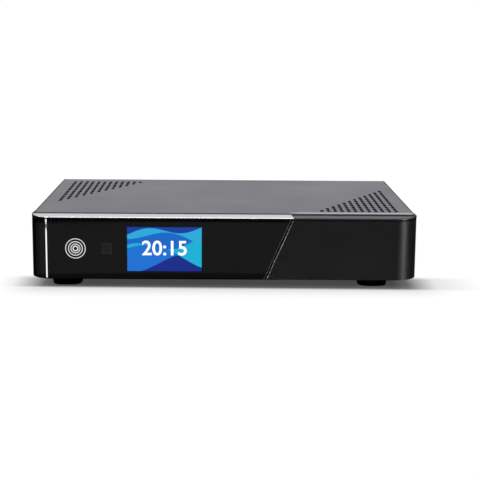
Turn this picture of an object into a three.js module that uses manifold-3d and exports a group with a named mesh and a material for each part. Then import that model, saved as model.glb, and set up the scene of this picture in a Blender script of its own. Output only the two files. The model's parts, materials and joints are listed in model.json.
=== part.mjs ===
// A slim satellite tv receiver: a black set-top box on four rubber feet.
// Millimetres, +Z up. The front looks along -Y, and +X is on the right seen from the front.
// Inside the group, y = 0 is the front face and y grows towards the rear panel.

import * as THREE from 'three';
import { mergeVertices } from 'three/addons/utils/BufferGeometryUtils.js';
import Module from 'manifold-3d';

const wasm = await Module();
wasm.setup();

// Driving dimensions of the whole box
const frontWidth = 310;
const bodyDepth = 205;
const bodyHeight = 51.8;
const footHeight = 7.5;
const sheet = 1;
const seatGap = 0.3;
const overrun = 2;
const pressGap = 0.1;

// Front panel moulding
const sideStep = 1.5;
const ledgeDepth = 11;
const cornerRadius = 18;
const sideReturn = 24;
const bezelWall = 2.5;
const bezelSide = 5.5;
const backingWall = 2;
const bezelFloor = 1.8;
const grooveHeight = 0.8;
const grooveDepth = 1.2;
const lipDrop = 2.4;
const lipEdge = 0.35;
const lipRound = 0.95;
const ledgeCeiling = 1.5;
const ledgeLean = 1.6;
const lowerRound = 2.4;
const lowerRoundSteps = 3;
const tuckShare = 1.25;
const lipRoundShares = [[0.03, 0.35], [0.1, 0.05]];
const cornerSegments = 8;

// Gloss window, its diagonal seam and the picture area
const windowThickness = 2;
const windowLip = 0.8;
const seamTopShare = 0.1768;
const seamLean = 0.436;
const seamGap = 0.8;
const windowChamfer = 1.3;
const windowChamferDepth = 0.8;
const bezelChamfer = 0.5;
const wedgeShare = 2;
const screenWidth = 59.8;
const screenHeightShare = 0.766;
const screenInset = 107.4;
const screenThickness = 1.6;

// Steel cover and its two stepped vent fields
const coverBend = 1.5;
const bendSegments = 3;
const ventColumns = 12;
const ventPitchX = 5.5;
const ventPitchY = 10;
const ventWidth = 2.3;
const ventLength = 8.6;
const ventEdgeX = 13.9;
const ventEdgeY = 15;
const ventFrontEdgeY = 10.7;
const ventEndSegments = 3;

// Steel base
const baseFrontGap = 0.8;
const baseFlangeHeight = 12;
const baseFlangeInset = 16;
const upstandHeight = 6;
const floorVentRows = 2;
const floorVentColumns = 7;
const floorVentPitchX = 11;
const floorVentPitchY = 30;
const floorVentLength = 20;
const floorVentWidth = 3;

// Feet
const foot = {
  topRadius: 13,
  bottomRadius: 11.3,
  edge: 1,
  insetLeft: 27.5,
  insetRight: 34.5,
  insetY: 23.3,
  stemRadius: 4,
  barbRadius: 5.2,
  barbHeight: 2,
  segments: 16,
};

// Cover screws, board screws and front board screws
const coverScrew = {
  radius: 1.5,
  headRadius: 2.8,
  headHeight: 1.6,
  length: 5,
  rise: 3,
  frontY: 48,
  rearInset: 19,
};
const boardScrew = { radius: 1.5, headRadius: 2.8, headHeight: 1.8, length: 4.5 };
const screwGap = 0.35;
const headShare = 0.7;
const screwSegments = 10;
const driveDepth = 0.9;
const driveWidth = 0.9;
const driveLength = 3.4;

// Main board and its standoffs
const board = {
  inset: 9,
  margin: 4,
  front: 46,
  thickness: 1.6,
  standoff: 5,
  standoffRadius: 3.2,
  rearGap: 1.3,
};
const boardHole = { side: 11, front: 8, rear: 55, cageGap: 6.4 };

// Front board, display module, touch pad and infrared eye
const frontBoard = { inset: 15, pastScreen: 23.7, margin: 5.9, thickness: 1.6 };
const frontBoss = { radius: 2.6, side: 5 };
const lcd = { side: 4.1, border: 3.2, thickness: 4, lip: 1 };
const touch = {
  insetShare: 0.34,
  padRadius: 7.2,
  padThickness: 0.6,
  postRadius: 2.2,
  segments: 16,
};
const eye = { insetShare: 0.572, width: 7, height: 8, depth: 2.6, lensRadius: 2.4, segments: 12 };
const domeShare = 0.5;

// Flat cables and the switch lead
const cable = {
  chipOffset: 6,
  thickness: 0.5,
  width: 24,
  steps: 10,
  headerHeight: 3.4,
  headerDepth: 5,
  headerWidth: 27,
  headerInset: 1,
};
const lead = {
  radius: 1.3,
  sides: 8,
  steps: 10,
  headerWidth: 8,
  headerDepth: 5,
  headerHeight: 6,
  headerGap: 11,
};

// Processor, heat sink and other parts of the board
const chip = { size: 27, height: 2, acrossShare: 0.614, backShare: 0.37 };
const sink = {
  width: 52,
  depth: 50,
  base: 3,
  height: 20,
  finCount: 11,
  finThickness: 1.4,
};
const cell = { radius: 10, height: 3.2, rim: 0.5, cageGap: 0.6, frontGap: 10, segments: 16 };
const can = {
  radius: 5,
  height: 12,
  groove: 0.4,
  grooveRise: 2,
  rim: 0.4,
  segments: 12,
  count: 2,
  spacing: 14,
  sinkGap: 3,
};
const coil = { size: 12, height: 6, corner: 3, offset: 24 };

// Rear panel and the row of sockets along it
const rearFlange = 8;
const socketReach = 0.6;
const tuner = {
  width: 52,
  depth: 48,
  height: 15,
  lidStep: 0.5,
  lidHeight: 2.4,
  clearance: 0.5,
};
const barrel = {
  radius: 4.75,
  reach: 12,
  bore: 1,
  boreDepth: 9,
  rim: 0.5,
  shoulder: 0.6,
  spacing: 24,
  segments: 16,
};
const nut = { radius: 6.6, thickness: 2.2, sides: 6 };
const optical = { width: 10.6, depth: 14, height: 10.6, wall: 1, mouthDepth: 11 };
const shutter = {
  thickness: 0.8,
  barrel: 0.6,
  pin: 0.5,
  pinGap: 0.25,
  setback: 1.6,
  segments: 10,
};
const picture = {
  width: 15.2,
  depth: 11.8,
  height: 6.4,
  mouthWidth: 14,
  mouthHeight: 4.6,
  mouthDepth: 9,
  slope: 1.7,
};
const pictureTongue = { width: 11.4, thickness: 1, depth: 8 };
const dataPort = {
  count: 2,
  width: 14,
  depth: 18,
  height: 15.6,
  mouthWidth: 12.6,
  mouthHeight: 5.2,
  mouthDepth: 12,
};
const dataTongue = { width: 11, thickness: 1.8, depth: 10, wall: 0.7 };
const network = {
  width: 16,
  depth: 21,
  height: 13.4,
  mouthWidth: 11.9,
  mouthHeight: 8,
  mouthDepth: 13,
};
const networkLatch = { width: 6.2, height: 1.8, rise: 1.6 };
const inlet = {
  width: 9.4,
  depth: 14,
  height: 11,
  bore: 3.2,
  boreDepth: 9.5,
  pin: 1.05,
  pinSetback: 1.6,
  segments: 12,
};

// Rocker switch
const rocker = {
  width: 9.8,
  half: 7.7,
  crest: 4,
  horn: 5.6,
  back: 2,
  backHalf: 4.5,
  pivotDepth: 2.6,
  pin: 1,
  pinReach: 0.8,
  tilt: Math.PI / 18,
  segments: 12,
};
const bezelRing = {
  wall: 1.6,
  cheek: 1.2,
  thickness: 1.5,
  lip: 1.1,
  depth: 12,
  height: 17.8,
  backGap: 1,
  rise: 20,
};

// Card slots on the left side
const slotCage = {
  width: 58,
  height: 8.4,
  depth: 62,
  mouthWidth: 54.6,
  mouthHeight: 5.4,
  wall: 1.4,
  frontGap: 14,
};
const cardReader = {
  width: 58,
  height: 3.8,
  depth: 50,
  mouthWidth: 54.4,
  mouthHeight: 1.2,
  mouthDepth: 44,
  rise: 1.3,
};
const slotReveal = 0.7;
const slotSetback = 0.6;

// Disk caddy and its bay
const disk = { width: 69.9, depth: 100, height: 9.5, edge: 1.2 };
const caddy = {
  wall: 1.4,
  floor: 1.2,
  rim: 1.6,
  faceMargin: 4.3,
  faceHeight: 17.5,
  faceThickness: 2.5,
  faceInset: 0.8,
};
const caddyGrip = { width: 34, height: 5, reach: 4, wall: 1.4 };
const bay = {
  wall: 1,
  lip: 3,
  rail: 2.4,
  railWidth: 2.4,
  front: 7,
};
const plug = { width: 44, depth: 5.6, height: 6.4 };
const thumb = {
  radius: 4,
  length: 5.4,
  shank: 1.4,
  shankBehind: 4,
  caddyGap: 4.75,
  teeth: 12,
  knurl: 0.35,
  slot: 1,
};

// Values worked out from the driving dimensions
const bodyBottom = footHeight;
const bodyTop = footHeight + bodyHeight;
const coverUnder = bodyTop - sheet;
const coverHalf = frontWidth / 2 - sideStep;
const coverInner = coverHalf - sheet;
const baseHalf = coverInner - seatGap;
const floorTop = bodyBottom + sheet;
const bezelInnerHalf = frontWidth / 2 - bezelSide;
const lipBottom = bodyTop - lipDrop;
const windowTop = lipBottom - grooveHeight;
const windowBottom = bodyBottom + windowLip;
const seamTopX = frontWidth * seamTopShare;
const screenX = screenInset - frontWidth / 2;
const screenZ = (windowTop + windowBottom) / 2;
const screenHeight = (windowTop - windowBottom) * screenHeightShare;
const touchX = touch.insetShare * screenInset - frontWidth / 2;
const eyeX = eye.insetShare * screenInset - frontWidth / 2;
const backingFront = windowThickness + seatGap;
const backingRear = backingFront + backingWall;
const frontBoardY = backingFront + lcd.thickness + seatGap;
const baseFront = frontBoardY + frontBoard.thickness + baseFrontGap;
const bezelFloorDepth = baseFront - seatGap;
const frontBoardLeft = frontBoard.inset - frontWidth / 2;
const frontBoardRight = screenX + screenWidth / 2 + frontBoard.pastScreen;
const lcdWidth = screenWidth + 2 * lcd.side;
const lcdHeight = screenHeight + 2 * lcd.border;
const boardLeft = board.inset - frontWidth / 2;
const boardUnder = floorTop + board.standoff;
const boardTop = boardUnder + board.thickness;
const panelInner = bodyDepth - sheet;
const barrelTip = bodyDepth + barrel.reach;
const boardRear = panelInner - board.rearGap;
const overallDepth = barrelTip;

// Turns a drawn outline from the plan into the front view or the side view
const asFront = new THREE.Matrix4().makeBasis(
  new THREE.Vector3(1, 0, 0),
  new THREE.Vector3(0, 0, 1),
  new THREE.Vector3(0, -1, 0),
);
const asSide = new THREE.Matrix4().makeBasis(
  new THREE.Vector3(0, 1, 0),
  new THREE.Vector3(0, 0, 1),
  new THREE.Vector3(1, 0, 0),
);

// Solids from three.js geometry

function signedVolume(positions, index) {
  const a = new THREE.Vector3();
  const b = new THREE.Vector3();
  const c = new THREE.Vector3();
  let total = 0;
  for (let i = 0; i < index.length; i += 3) {
    a.fromArray(positions, index[i] * 3);
    b.fromArray(positions, index[i + 1] * 3);
    c.fromArray(positions, index[i + 2] * 3);
    total += a.dot(b.cross(c));
  }
  return total;
}

function toSolid(geometry) {
  const bare = geometry.clone();
  bare.deleteAttribute('normal');
  bare.deleteAttribute('uv');
  const welded = mergeVertices(bare);
  const positions = welded.attributes.position.array;
  const index = [];
  for (let i = 0; i < welded.index.count; i += 3) {
    const [a, b, c] = [0, 1, 2].map((k) => welded.index.getX(i + k));
    if (a !== b && b !== c && c !== a) index.push(a, b, c);
  }
  if (signedVolume(positions, index) < 0) index.reverse();
  const vertProperties = new Float32Array(positions);
  const triVerts = new Uint32Array(index);
  return new wasm.Manifold(new wasm.Mesh({ numProp: 3, vertProperties, triVerts }));
}

function toGeometry(solid) {
  const result = solid.getMesh();
  const geometry = new THREE.BufferGeometry();
  geometry.setAttribute('position', new THREE.BufferAttribute(new Float32Array(result.vertProperties), 3));
  geometry.setIndex(new THREE.BufferAttribute(new Uint32Array(result.triVerts), 1));
  geometry.computeVertexNormals();
  return geometry;
}

// A block between two corners
function block(x0, x1, y0, y1, z0, z1) {
  const geometry = new THREE.BoxGeometry(x1 - x0, y1 - y0, z1 - z0);
  geometry.translate((x0 + x1) / 2, (y0 + y1) / 2, (z0 + z1) / 2);
  return toSolid(geometry);
}

// A block centred in x, given by its width
function centredBlock(x, width, y0, y1, z0, z1) {
  return block(x - width / 2, x + width / 2, y0, y1, z0, z1);
}

// A prism with a plan outline, standing between two heights
function planPrism(points, z0, z1) {
  const shape = new THREE.Shape(points);
  const geometry = new THREE.ExtrudeGeometry(shape, { depth: z1 - z0, bevelEnabled: false });
  geometry.translate(0, 0, z0);
  return toSolid(geometry);
}

// A prism with a front-view outline (x, z), running between two depths
function frontPrism(points, y0, y1) {
  const shape = new THREE.Shape(points);
  const geometry = new THREE.ExtrudeGeometry(shape, { depth: y1 - y0, bevelEnabled: false });
  geometry.applyMatrix4(asFront);
  geometry.translate(0, y1, 0);
  return toSolid(geometry);
}

// A prism with a side-view outline (y, z), running between two x values
function sidePrism(points, x0, x1) {
  const shape = new THREE.Shape(points);
  const geometry = new THREE.ExtrudeGeometry(shape, { depth: x1 - x0, bevelEnabled: false });
  geometry.applyMatrix4(asSide);
  geometry.translate(x0, 0, 0);
  return toSolid(geometry);
}

// A turned piece about a line along Y: profile points are (radius, y)
function turnedAlongY(points, segments, x, z) {
  const geometry = new THREE.LatheGeometry(points, segments);
  geometry.translate(x, 0, z);
  return toSolid(geometry);
}

// A turned piece about a vertical line: profile points are (radius, z)
function turnedUpright(points, segments, x, y) {
  const geometry = new THREE.LatheGeometry(points, segments);
  geometry.applyMatrix4(asFront);
  geometry.translate(x, y, 0);
  return toSolid(geometry);
}

function rodAlongY(radius, y0, y1, segments, x, z) {
  const points = [[0, y0], [radius, y0], [radius, y1], [0, y1]];
  return turnedAlongY(points.map(toVector), segments, x, z);
}

function rodUpright(radius, z0, z1, segments, x, y) {
  const points = [[0, z0], [radius, z0], [radius, z1], [0, z1]];
  return turnedUpright(points.map(toVector), segments, x, y);
}

function rodAlongX(radius, x0, x1, segments, y, z) {
  const points = circlePoints(radius, segments, y, z);
  return sidePrism(points, x0, x1);
}

function toVector(pair) {
  return new THREE.Vector2(pair[0], pair[1]);
}

function circlePoints(radius, segments, u, v) {
  const points = [];
  for (let i = 0; i < segments; i += 1) {
    const angle = (i / segments) * Math.PI * 2;
    points.push(new THREE.Vector2(u + radius * Math.cos(angle), v + radius * Math.sin(angle)));
  }
  return points;
}

// A slot with round ends, long in y
function slotPoints(x, y, width, length) {
  const radius = width / 2;
  const reach = length / 2 - radius;
  const points = [];
  for (const side of [1, -1]) {
    for (let i = 0; i <= ventEndSegments; i += 1) {
      const angle = (i / ventEndSegments) * Math.PI;
      const u = x + side * radius * Math.cos(angle);
      points.push(new THREE.Vector2(u, y + side * (reach + radius * Math.sin(angle))));
    }
  }
  return points;
}

function joined(solids) {
  return solids.reduce((total, solid) => total.add(solid));
}

function cutFrom(body, tools) {
  return tools.reduce((rest, tool) => rest.subtract(tool), body);
}

// Finishes

const finishes = {
  coverSteel: { color: 0x2b2b2d, roughness: 0.5, metalness: 0.3 },
  bareSteel: { color: 0xa9acae, roughness: 0.4, metalness: 0.9 },
  mattBlack: { color: 0x232325, roughness: 0.6, metalness: 0 },
  glossBlack: { color: 0x0b0b0c, roughness: 0.06, metalness: 0 },
  satinSilver: { color: 0xcfcfd4, roughness: 0.28, metalness: 0.9 },
  screenGlass: { color: 0x1c6fb8, roughness: 0.08, metalness: 0 },
  rubber: { color: 0x161616, roughness: 0.85, metalness: 0 },
  boardGreen: { color: 0x14532f, roughness: 0.5, metalness: 0 },
  chipBlack: { color: 0x1b1b1c, roughness: 0.55, metalness: 0 },
  aluminium: { color: 0xb9bcc0, roughness: 0.35, metalness: 0.95 },
  nickel: { color: 0xc6c3ba, roughness: 0.3, metalness: 0.95 },
  cableWhite: { color: 0xd8d8d2, roughness: 0.6, metalness: 0 },
  leadRed: { color: 0x8f2420, roughness: 0.55, metalness: 0 },
  canSleeve: { color: 0x23355c, roughness: 0.45, metalness: 0 },
};

const receiver = new THREE.Group();
const box = new THREE.Group();
box.position.y = -overallDepth / 2;
receiver.add(box);

function place(name, solid, finish) {
  const mesh = new THREE.Mesh(toGeometry(solid), new THREE.MeshStandardMaterial(finishes[finish]));
  mesh.name = name;
  box.add(mesh);
  return mesh;
}

// Front panel lines: the plan line of the front and of the ledge behind it

function frontLine(inset) {
  const half = frontWidth / 2 - inset;
  const centre = frontWidth / 2 - cornerRadius;
  const radius = cornerRadius - inset;
  const left = [];
  const right = [];
  for (let i = 0; i <= cornerSegments; i += 1) {
    const angle = ((i / cornerSegments) * Math.PI) / 2;
    left.push(toVector([-centre - radius * Math.cos(angle), cornerRadius - radius * Math.sin(angle)]));
    right.push(toVector([centre + radius * Math.sin(angle), cornerRadius - radius * Math.cos(angle)]));
  }
  return [toVector([-half, sideReturn]), ...left, ...right, toVector([half, sideReturn])];
}

function frontBand(outerInset, innerInset, z0, z1) {
  const points = [...frontLine(outerInset), ...frontLine(innerInset).reverse()];
  return planPrism(points, z0, z1);
}

// Pairs of an outer point on the front line and an inner point on the cover's edge, left to right
function ledgeStations(leftEnd, rightEnd) {
  const centre = frontWidth / 2 - cornerRadius;
  const stations = [];
  for (const side of [-1, 1]) {
    const arc = [];
    for (let i = 0; i <= cornerSegments; i += 1) {
      const share = i / cornerSegments;
      const angle = (share * Math.PI) / 2;
      const along = Math.min(share * 2, 1);
      const back = Math.max(share * 2 - 1, 0);
      arc.push({
        outer: [centre + cornerRadius * Math.sin(angle), cornerRadius * (1 - Math.cos(angle))],
        inner: [centre + along * (coverHalf - centre), ledgeDepth + back * (cornerRadius - ledgeDepth)],
      });
    }
    arc.push({ outer: [frontWidth / 2, sideReturn], inner: [coverHalf, sideReturn] });
    const turned = arc.map(({ outer, inner }) => ({
      outer: [side * outer[0], outer[1]],
      inner: [side * inner[0], inner[1]],
    }));
    stations.push(...(side < 0 ? turned.reverse() : turned));
  }
  const kept = stations.filter(({ outer }) => outer[0] > leftEnd && outer[0] < rightEnd);
  const leaning = (end) => ({ outer: [end, 0], inner: [end - ledgeLean, ledgeDepth] });
  if (leftEnd > -centre) kept.unshift(leaning(leftEnd));
  if (rightEnd < centre) kept.push(leaning(rightEnd));
  return kept;
}

// The ledge's section as (share of the way in, height)
function ledgeSection() {
  const rise = coverUnder - lipBottom;
  const rounded = lipRoundShares.map(([share, fall]) => [share, lipBottom + lipRound - fall * lipRound]);
  return [
    [0, lipBottom],
    [0, lipBottom + lipEdge],
    ...rounded,
    [1, lipBottom + rise],
    [tuckShare, lipBottom + rise],
    [tuckShare, lipBottom],
  ];
}

// A closed section carried through stations; each station lists the section's points, in one order
function carriedSolid(stations) {
  const count = stations[0].length;
  const index = [];
  for (let i = 0; i + 1 < stations.length; i += 1) {
    for (let j = 0; j < count; j += 1) {
      const a = i * count + j;
      const b = i * count + ((j + 1) % count);
      index.push(a, b, b + count, a, b + count, a + count);
    }
  }
  const last = (stations.length - 1) * count;
  for (let j = 1; j + 1 < count; j += 1) {
    index.push(0, j + 1, j, last, last + j, last + j + 1);
  }
  const geometry = new THREE.BufferGeometry();
  geometry.setAttribute('position', new THREE.Float32BufferAttribute(stations.flat(2), 3));
  geometry.setIndex(index);
  return toSolid(geometry);
}

// The sloping ledge between two ends: one section carried along the front and round the corners
function ledgeSolid(leftEnd, rightEnd) {
  const section = ledgeSection();
  return carriedSolid(ledgeStations(leftEnd, rightEnd).map(({ outer, inner }) => (
    section.map(([share, z]) => (
      [outer[0] + share * (inner[0] - outer[0]), outer[1] + share * (inner[1] - outer[1]), z])))));
}

// Rounds the lower edge of the front: what lies outside a quarter circle, carried along the front line
function lowerEdgeTool() {
  const below = bodyBottom - overrun;
  const section = [[-overrun, below], [lowerRound, below]];
  for (let i = 0; i <= lowerRoundSteps; i += 1) {
    const angle = ((1 - i / lowerRoundSteps) * Math.PI) / 2;
    section.push([lowerRound * (1 - Math.cos(angle)), bodyBottom + lowerRound * (1 - Math.sin(angle))]);
  }
  section.push([-overrun, bodyBottom + lowerRound]);
  const far = sideReturn + overrun;
  const lines = section.map(([inset]) => {
    const line = frontLine(inset);
    return [toVector([line[0].x, far]), ...line, toVector([line[line.length - 1].x, far])];
  });
  return carriedSolid(lines[0].map((_, i) => section.map(([, z], j) => [lines[j][i].x, lines[j][i].y, z])));
}

// The seam between the gloss window and the matt moulding leans to the left going down
function seamX(z) {
  return seamTopX - (lipBottom - z) * seamLean;
}

// Everything to the left of the seam line, moved sideways by an offset
function leftOfSeam(offset, y0, y1, z0, z1) {
  const left = -frontWidth / 2 - overrun;
  const points = [[left, z0], [seamX(z0) + offset, z0], [seamX(z1) + offset, z1], [left, z1]];
  return frontPrism(points.map(toVector), y0, y1);
}

// Front panel moulding

function bezelShell() {
  const inner = bodyBottom + bezelFloor;
  const ceiling = lipBottom - ledgeCeiling;
  const outline = [...frontLine(0)];
  const outer = planPrism(outline, bodyBottom, lipBottom);
  const far = sideReturn + overrun;
  const hollowLine = (inset) => [
    toVector([-frontWidth / 2 + inset, far]),
    ...frontLine(inset),
    toVector([frontWidth / 2 - inset, far]),
  ];
  const thickWall = planPrism(hollowLine(backingRear), inner, ceiling);
  const thinSide = seamTopX + bezelWall;
  const thinWall = planPrism(hollowLine(bezelWall), inner, ceiling)
    .intersect(block(thinSide, frontWidth, 0, far, inner, ceiling));
  const innerWidth = 2 * bezelInnerHalf;
  const below = bodyBottom - overrun;
  const floorBack = centredBlock(0, innerWidth, bezelFloorDepth, far, below, inner + overrun);
  const roofDepth = ledgeDepth * tuckShare;
  const roofBack = centredBlock(0, innerWidth, roofDepth, far, ceiling - overrun, lipBottom + overrun);
  return cutFrom(outer, [thickWall, thinWall, floorBack, roofBack]);
}

function frontBezel() {
  const shell = bezelShell().add(ledgeSolid(seamTopX + seatGap, frontWidth));
  const groove = frontBand(-overrun, grooveDepth, windowTop, lipBottom)
    .subtract(block(-frontWidth, frontWidth, sideReturn, sideReturn + overrun, windowTop, lipBottom));
  const top = windowTop + seatGap;
  const bottom = windowBottom - seatGap;
  const pocket = frontBand(-overrun, backingFront, bottom, top)
    .intersect(leftOfSeam(0, -overrun, sideReturn + overrun, bottom, top));
  const chamfer = edgeAlongSeam(0, bezelChamfer, bezelChamfer, bottom, windowTop);
  const lcdHole = centredBlock(
    screenX, lcdWidth + 2 * seatGap, 0, frontBoardY,
    screenZ - lcdHeight / 2 - seatGap, screenZ + lcdHeight / 2 + seatGap,
  );
  const padRoom = touch.padRadius + seatGap;
  const touchHole = rodAlongY(padRoom, 0, frontBoardY, touch.segments, touchX, screenZ);
  const eyeHole = centredBlock(
    eyeX, eye.width + 2 * seatGap, 0, frontBoardY,
    screenZ - eye.height / 2 - seatGap, screenZ + eye.height / 2 + seatGap,
  );
  const body = cutFrom(shell, [groove, pocket, chamfer, lowerEdgeTool(), lcdHole, touchHole, eyeHole]);
  const bossEnd = frontBoardY;
  const bosses = frontBossPlaces().map(([x, z]) => (
    rodAlongY(frontBoss.radius, backingRear - pressGap, bossEnd, screwSegments, x, z)));
  const pilots = frontBossPlaces().map(([x, z]) => (
    rodAlongY(boardScrew.radius + screwGap, backingRear, bossEnd + overrun, screwSegments, x, z)));
  return cutFrom(joined([body, ...bosses]), pilots);
}

// A wedge that takes the sharp front edge off along the seam, on the side of the sign of width
function edgeAlongSeam(offset, width, depth, z0, z1) {
  const points = (z) => [
    [seamX(z) + offset - width * wedgeShare, -depth * wedgeShare],
    [seamX(z) + offset + width * (1 + wedgeShare), -depth * wedgeShare],
    [seamX(z) + offset - width * wedgeShare, depth * (1 + wedgeShare)],
  ];
  const positions = [...points(z0).map(([x, y]) => [x, y, z0]), ...points(z1).map(([x, y]) => [x, y, z1])];
  const index = [0, 1, 2, 3, 5, 4, 0, 3, 4, 0, 4, 1, 1, 4, 5, 1, 5, 2, 2, 5, 3, 2, 3, 0];
  const geometry = new THREE.BufferGeometry();
  geometry.setAttribute('position', new THREE.Float32BufferAttribute(positions.flat(), 3));
  geometry.setIndex(index);
  return toSolid(geometry);
}

function frontWindow() {
  const limit = leftOfSeam(-seamGap, -overrun, sideReturn + overrun, windowBottom, windowTop);
  const band = frontBand(0, windowThickness, windowBottom, windowTop).intersect(limit);
  const screenHole = centredBlock(
    screenX, screenWidth, -overrun, windowThickness + overrun,
    screenZ - screenHeight / 2, screenZ + screenHeight / 2,
  );
  const bevel = edgeAlongSeam(-seamGap, -windowChamfer, windowChamferDepth, windowBottom, windowTop);
  return cutFrom(band, [screenHole, bevel, lowerEdgeTool()]);
}

function trimStrip() {
  return ledgeSolid(-frontWidth, seamTopX);
}

function displayScreen() {
  return centredBlock(
    screenX, screenWidth - 2 * pressGap, 0, screenThickness,
    screenZ - screenHeight / 2 + pressGap, screenZ + screenHeight / 2 - pressGap,
  );
}

// Front electronics

function frontBossPlaces() {
  return [[frontBoardLeft + frontBoss.side, screenZ], [frontBoardRight - frontBoss.side, screenZ]];
}

function frontBoardSolid() {
  const top = windowTop - frontBoard.margin;
  const bottom = windowBottom + frontBoard.margin;
  const rear = frontBoardY + frontBoard.thickness;
  const plate = block(frontBoardLeft, frontBoardRight, frontBoardY, rear, bottom, top);
  const header = centredBlock(
    cableX, cable.headerWidth, rear - pressGap, rear + cable.headerDepth,
    screenZ - cable.headerHeight / 2, screenZ + cable.headerHeight / 2,
  );
  const holes = frontBossPlaces().map(([x, z]) => (
    rodAlongY(boardScrew.radius + screwGap, frontBoardY - overrun, rear + overrun, screwSegments, x, z)));
  return cutFrom(plate.add(header), holes);
}

function lcdModule() {
  const y0 = backingFront;
  const y1 = y0 + lcd.thickness;
  const half = lcdHeight / 2;
  const frame = centredBlock(screenX, lcdWidth, y0, y1, screenZ - half, screenZ + half);
  const recess = centredBlock(
    screenX, screenWidth, y0 - overrun, y0 + lcd.lip,
    screenZ - screenHeight / 2, screenZ + screenHeight / 2,
  );
  return frame.subtract(recess);
}

function touchPad() {
  const face = backingFront;
  const neck = face + touch.padThickness;
  const points = [
    [0, face], [touch.padRadius, face], [touch.padRadius, neck],
    [touch.postRadius, neck], [touch.postRadius, frontBoardY], [0, frontBoardY],
  ];
  return turnedAlongY(points.map(toVector), touch.segments, touchX, screenZ);
}

function infraredEye() {
  const rear = frontBoardY;
  const front = rear - eye.depth;
  const z = screenZ;
  const base = centredBlock(eyeX, eye.width, front, rear, z - eye.height / 2, z + eye.height / 2);
  const tip = backingFront;
  const dome = [
    [0, tip],
    [eye.lensRadius * domeShare, tip + pressGap],
    [eye.lensRadius, front],
    [0, front + pressGap],
  ];
  return base.add(turnedAlongY(dome.map(toVector), eye.segments, eyeX, z));
}

// A flat cable: a smooth line in the (along, z) plane given a thickness
function ribbonOutline(start, end) {
  const reach = (end[0] - start[0]) / 2;
  const curve = new THREE.CubicBezierCurve(
    toVector(start),
    toVector([start[0] + reach, start[1]]),
    toVector([end[0] - reach, end[1]]),
    toVector(end),
  );
  const upper = [];
  const lower = [];
  for (let i = 0; i <= cable.steps; i += 1) {
    const point = curve.getPoint(i / cable.steps);
    const tangent = curve.getTangent(i / cable.steps);
    const normal = toVector([-tangent.y, tangent.x]).multiplyScalar(cable.thickness / 2);
    upper.push(point.clone().add(normal));
    lower.push(point.clone().sub(normal));
  }
  return [...lower, ...upper.reverse()];
}

function frontRibbon() {
  const start = [frontBoardY + frontBoard.thickness + cable.headerDepth + pressGap, screenZ];
  const end = [board.front + cable.headerInset - pressGap, boardTop + cable.headerHeight / 2];
  const half = cable.width / 2;
  return sidePrism(ribbonOutline(start, end), cableX - half, cableX + half);
}

// Base, rear panel and cover

function footPlaces() {
  const left = foot.insetLeft - frontWidth / 2;
  const right = frontWidth / 2 - foot.insetRight;
  const rear = bodyDepth - foot.insetY;
  return [
    ['front_left', left, foot.insetY],
    ['front_right', right, foot.insetY],
    ['rear_left', left, rear],
    ['rear_right', right, rear],
  ];
}

// The rear left screw stands beside the module cage, which covers the board's edge there
function boardHolePlaces() {
  const left = boardLeft + boardHole.side;
  const right = boardRight - boardHole.side;
  const front = board.front + boardHole.front;
  const rear = boardRear - boardHole.rear;
  return [[left, front], [right, front], [cageRight() + boardHole.cageGap, rear], [right, rear]];
}

function coverScrewPlaces() {
  return [coverScrew.frontY, bodyDepth - coverScrew.rearInset];
}

// One hole line across the whole box serves the screws on both sides
function coverScrewHole(y) {
  const radius = coverScrew.radius + screwGap;
  return rodAlongX(radius, -frontWidth, frontWidth, screwSegments, y, floorTop + coverScrew.rise);
}

function chassisBase() {
  const widest = block(-baseHalf, baseHalf, sideReturn + seatGap, bodyDepth, bodyBottom, floorTop);
  const tongueHalf = bezelInnerHalf - seatGap;
  const tongue = block(-tongueHalf, tongueHalf, baseFront, sideReturn + overrun, bodyBottom, floorTop);
  const floor = widest.add(tongue);
  const flangeHalf = baseHalf - baseFlangeInset;
  const flangeTop = floorTop + baseFlangeHeight;
  const flange = block(-flangeHalf, flangeHalf, baseFront, baseFront + sheet, bodyBottom, flangeTop);
  const sideFront = sideReturn + overrun;
  const sideRear = panelInner - seatGap;
  const upstands = [-1, 1].map((side) => {
    const outer = side * baseHalf;
    const inner = side * (baseHalf - sheet);
    const [x0, x1] = side < 0 ? [outer, inner] : [inner, outer];
    return block(x0, x1, sideFront, sideRear, bodyBottom, floorTop + upstandHeight);
  });
  const standoffs = boardHolePlaces().map(([x, y]) => (
    rodUpright(board.standoffRadius, bodyBottom, boardUnder, screwSegments, x, y)));
  const body = joined([floor, flange, ...upstands, ...standoffs]);
  const pilots = boardHolePlaces().map(([x, y]) => (
    rodUpright(boardScrew.radius + screwGap, floorTop, boardUnder + overrun, screwSegments, x, y)));
  const stems = footPlaces().map(([, x, y]) => (
    rodUpright(foot.stemRadius + seatGap, 0, floorTop + overrun, foot.segments, x, y)));
  const screwHoles = coverScrewPlaces().map((y) => coverScrewHole(y));
  return cutFrom(body, [...pilots, ...stems, ...screwHoles, ...floorVents()]);
}

// Air slots in the floor, under the processor
function floorVents() {
  const vents = [];
  for (let row = 0; row < floorVentRows; row += 1) {
    for (let column = 0; column < floorVentColumns; column += 1) {
      const x = chipX + (column - (floorVentColumns - 1) / 2) * floorVentPitchX;
      const y = chipY + (row - (floorVentRows - 1) / 2) * floorVentPitchY;
      vents.push(planPrism(slotPoints(x, y, floorVentWidth, floorVentLength), 0, floorTop + overrun));
    }
  }
  return vents;
}

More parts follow.
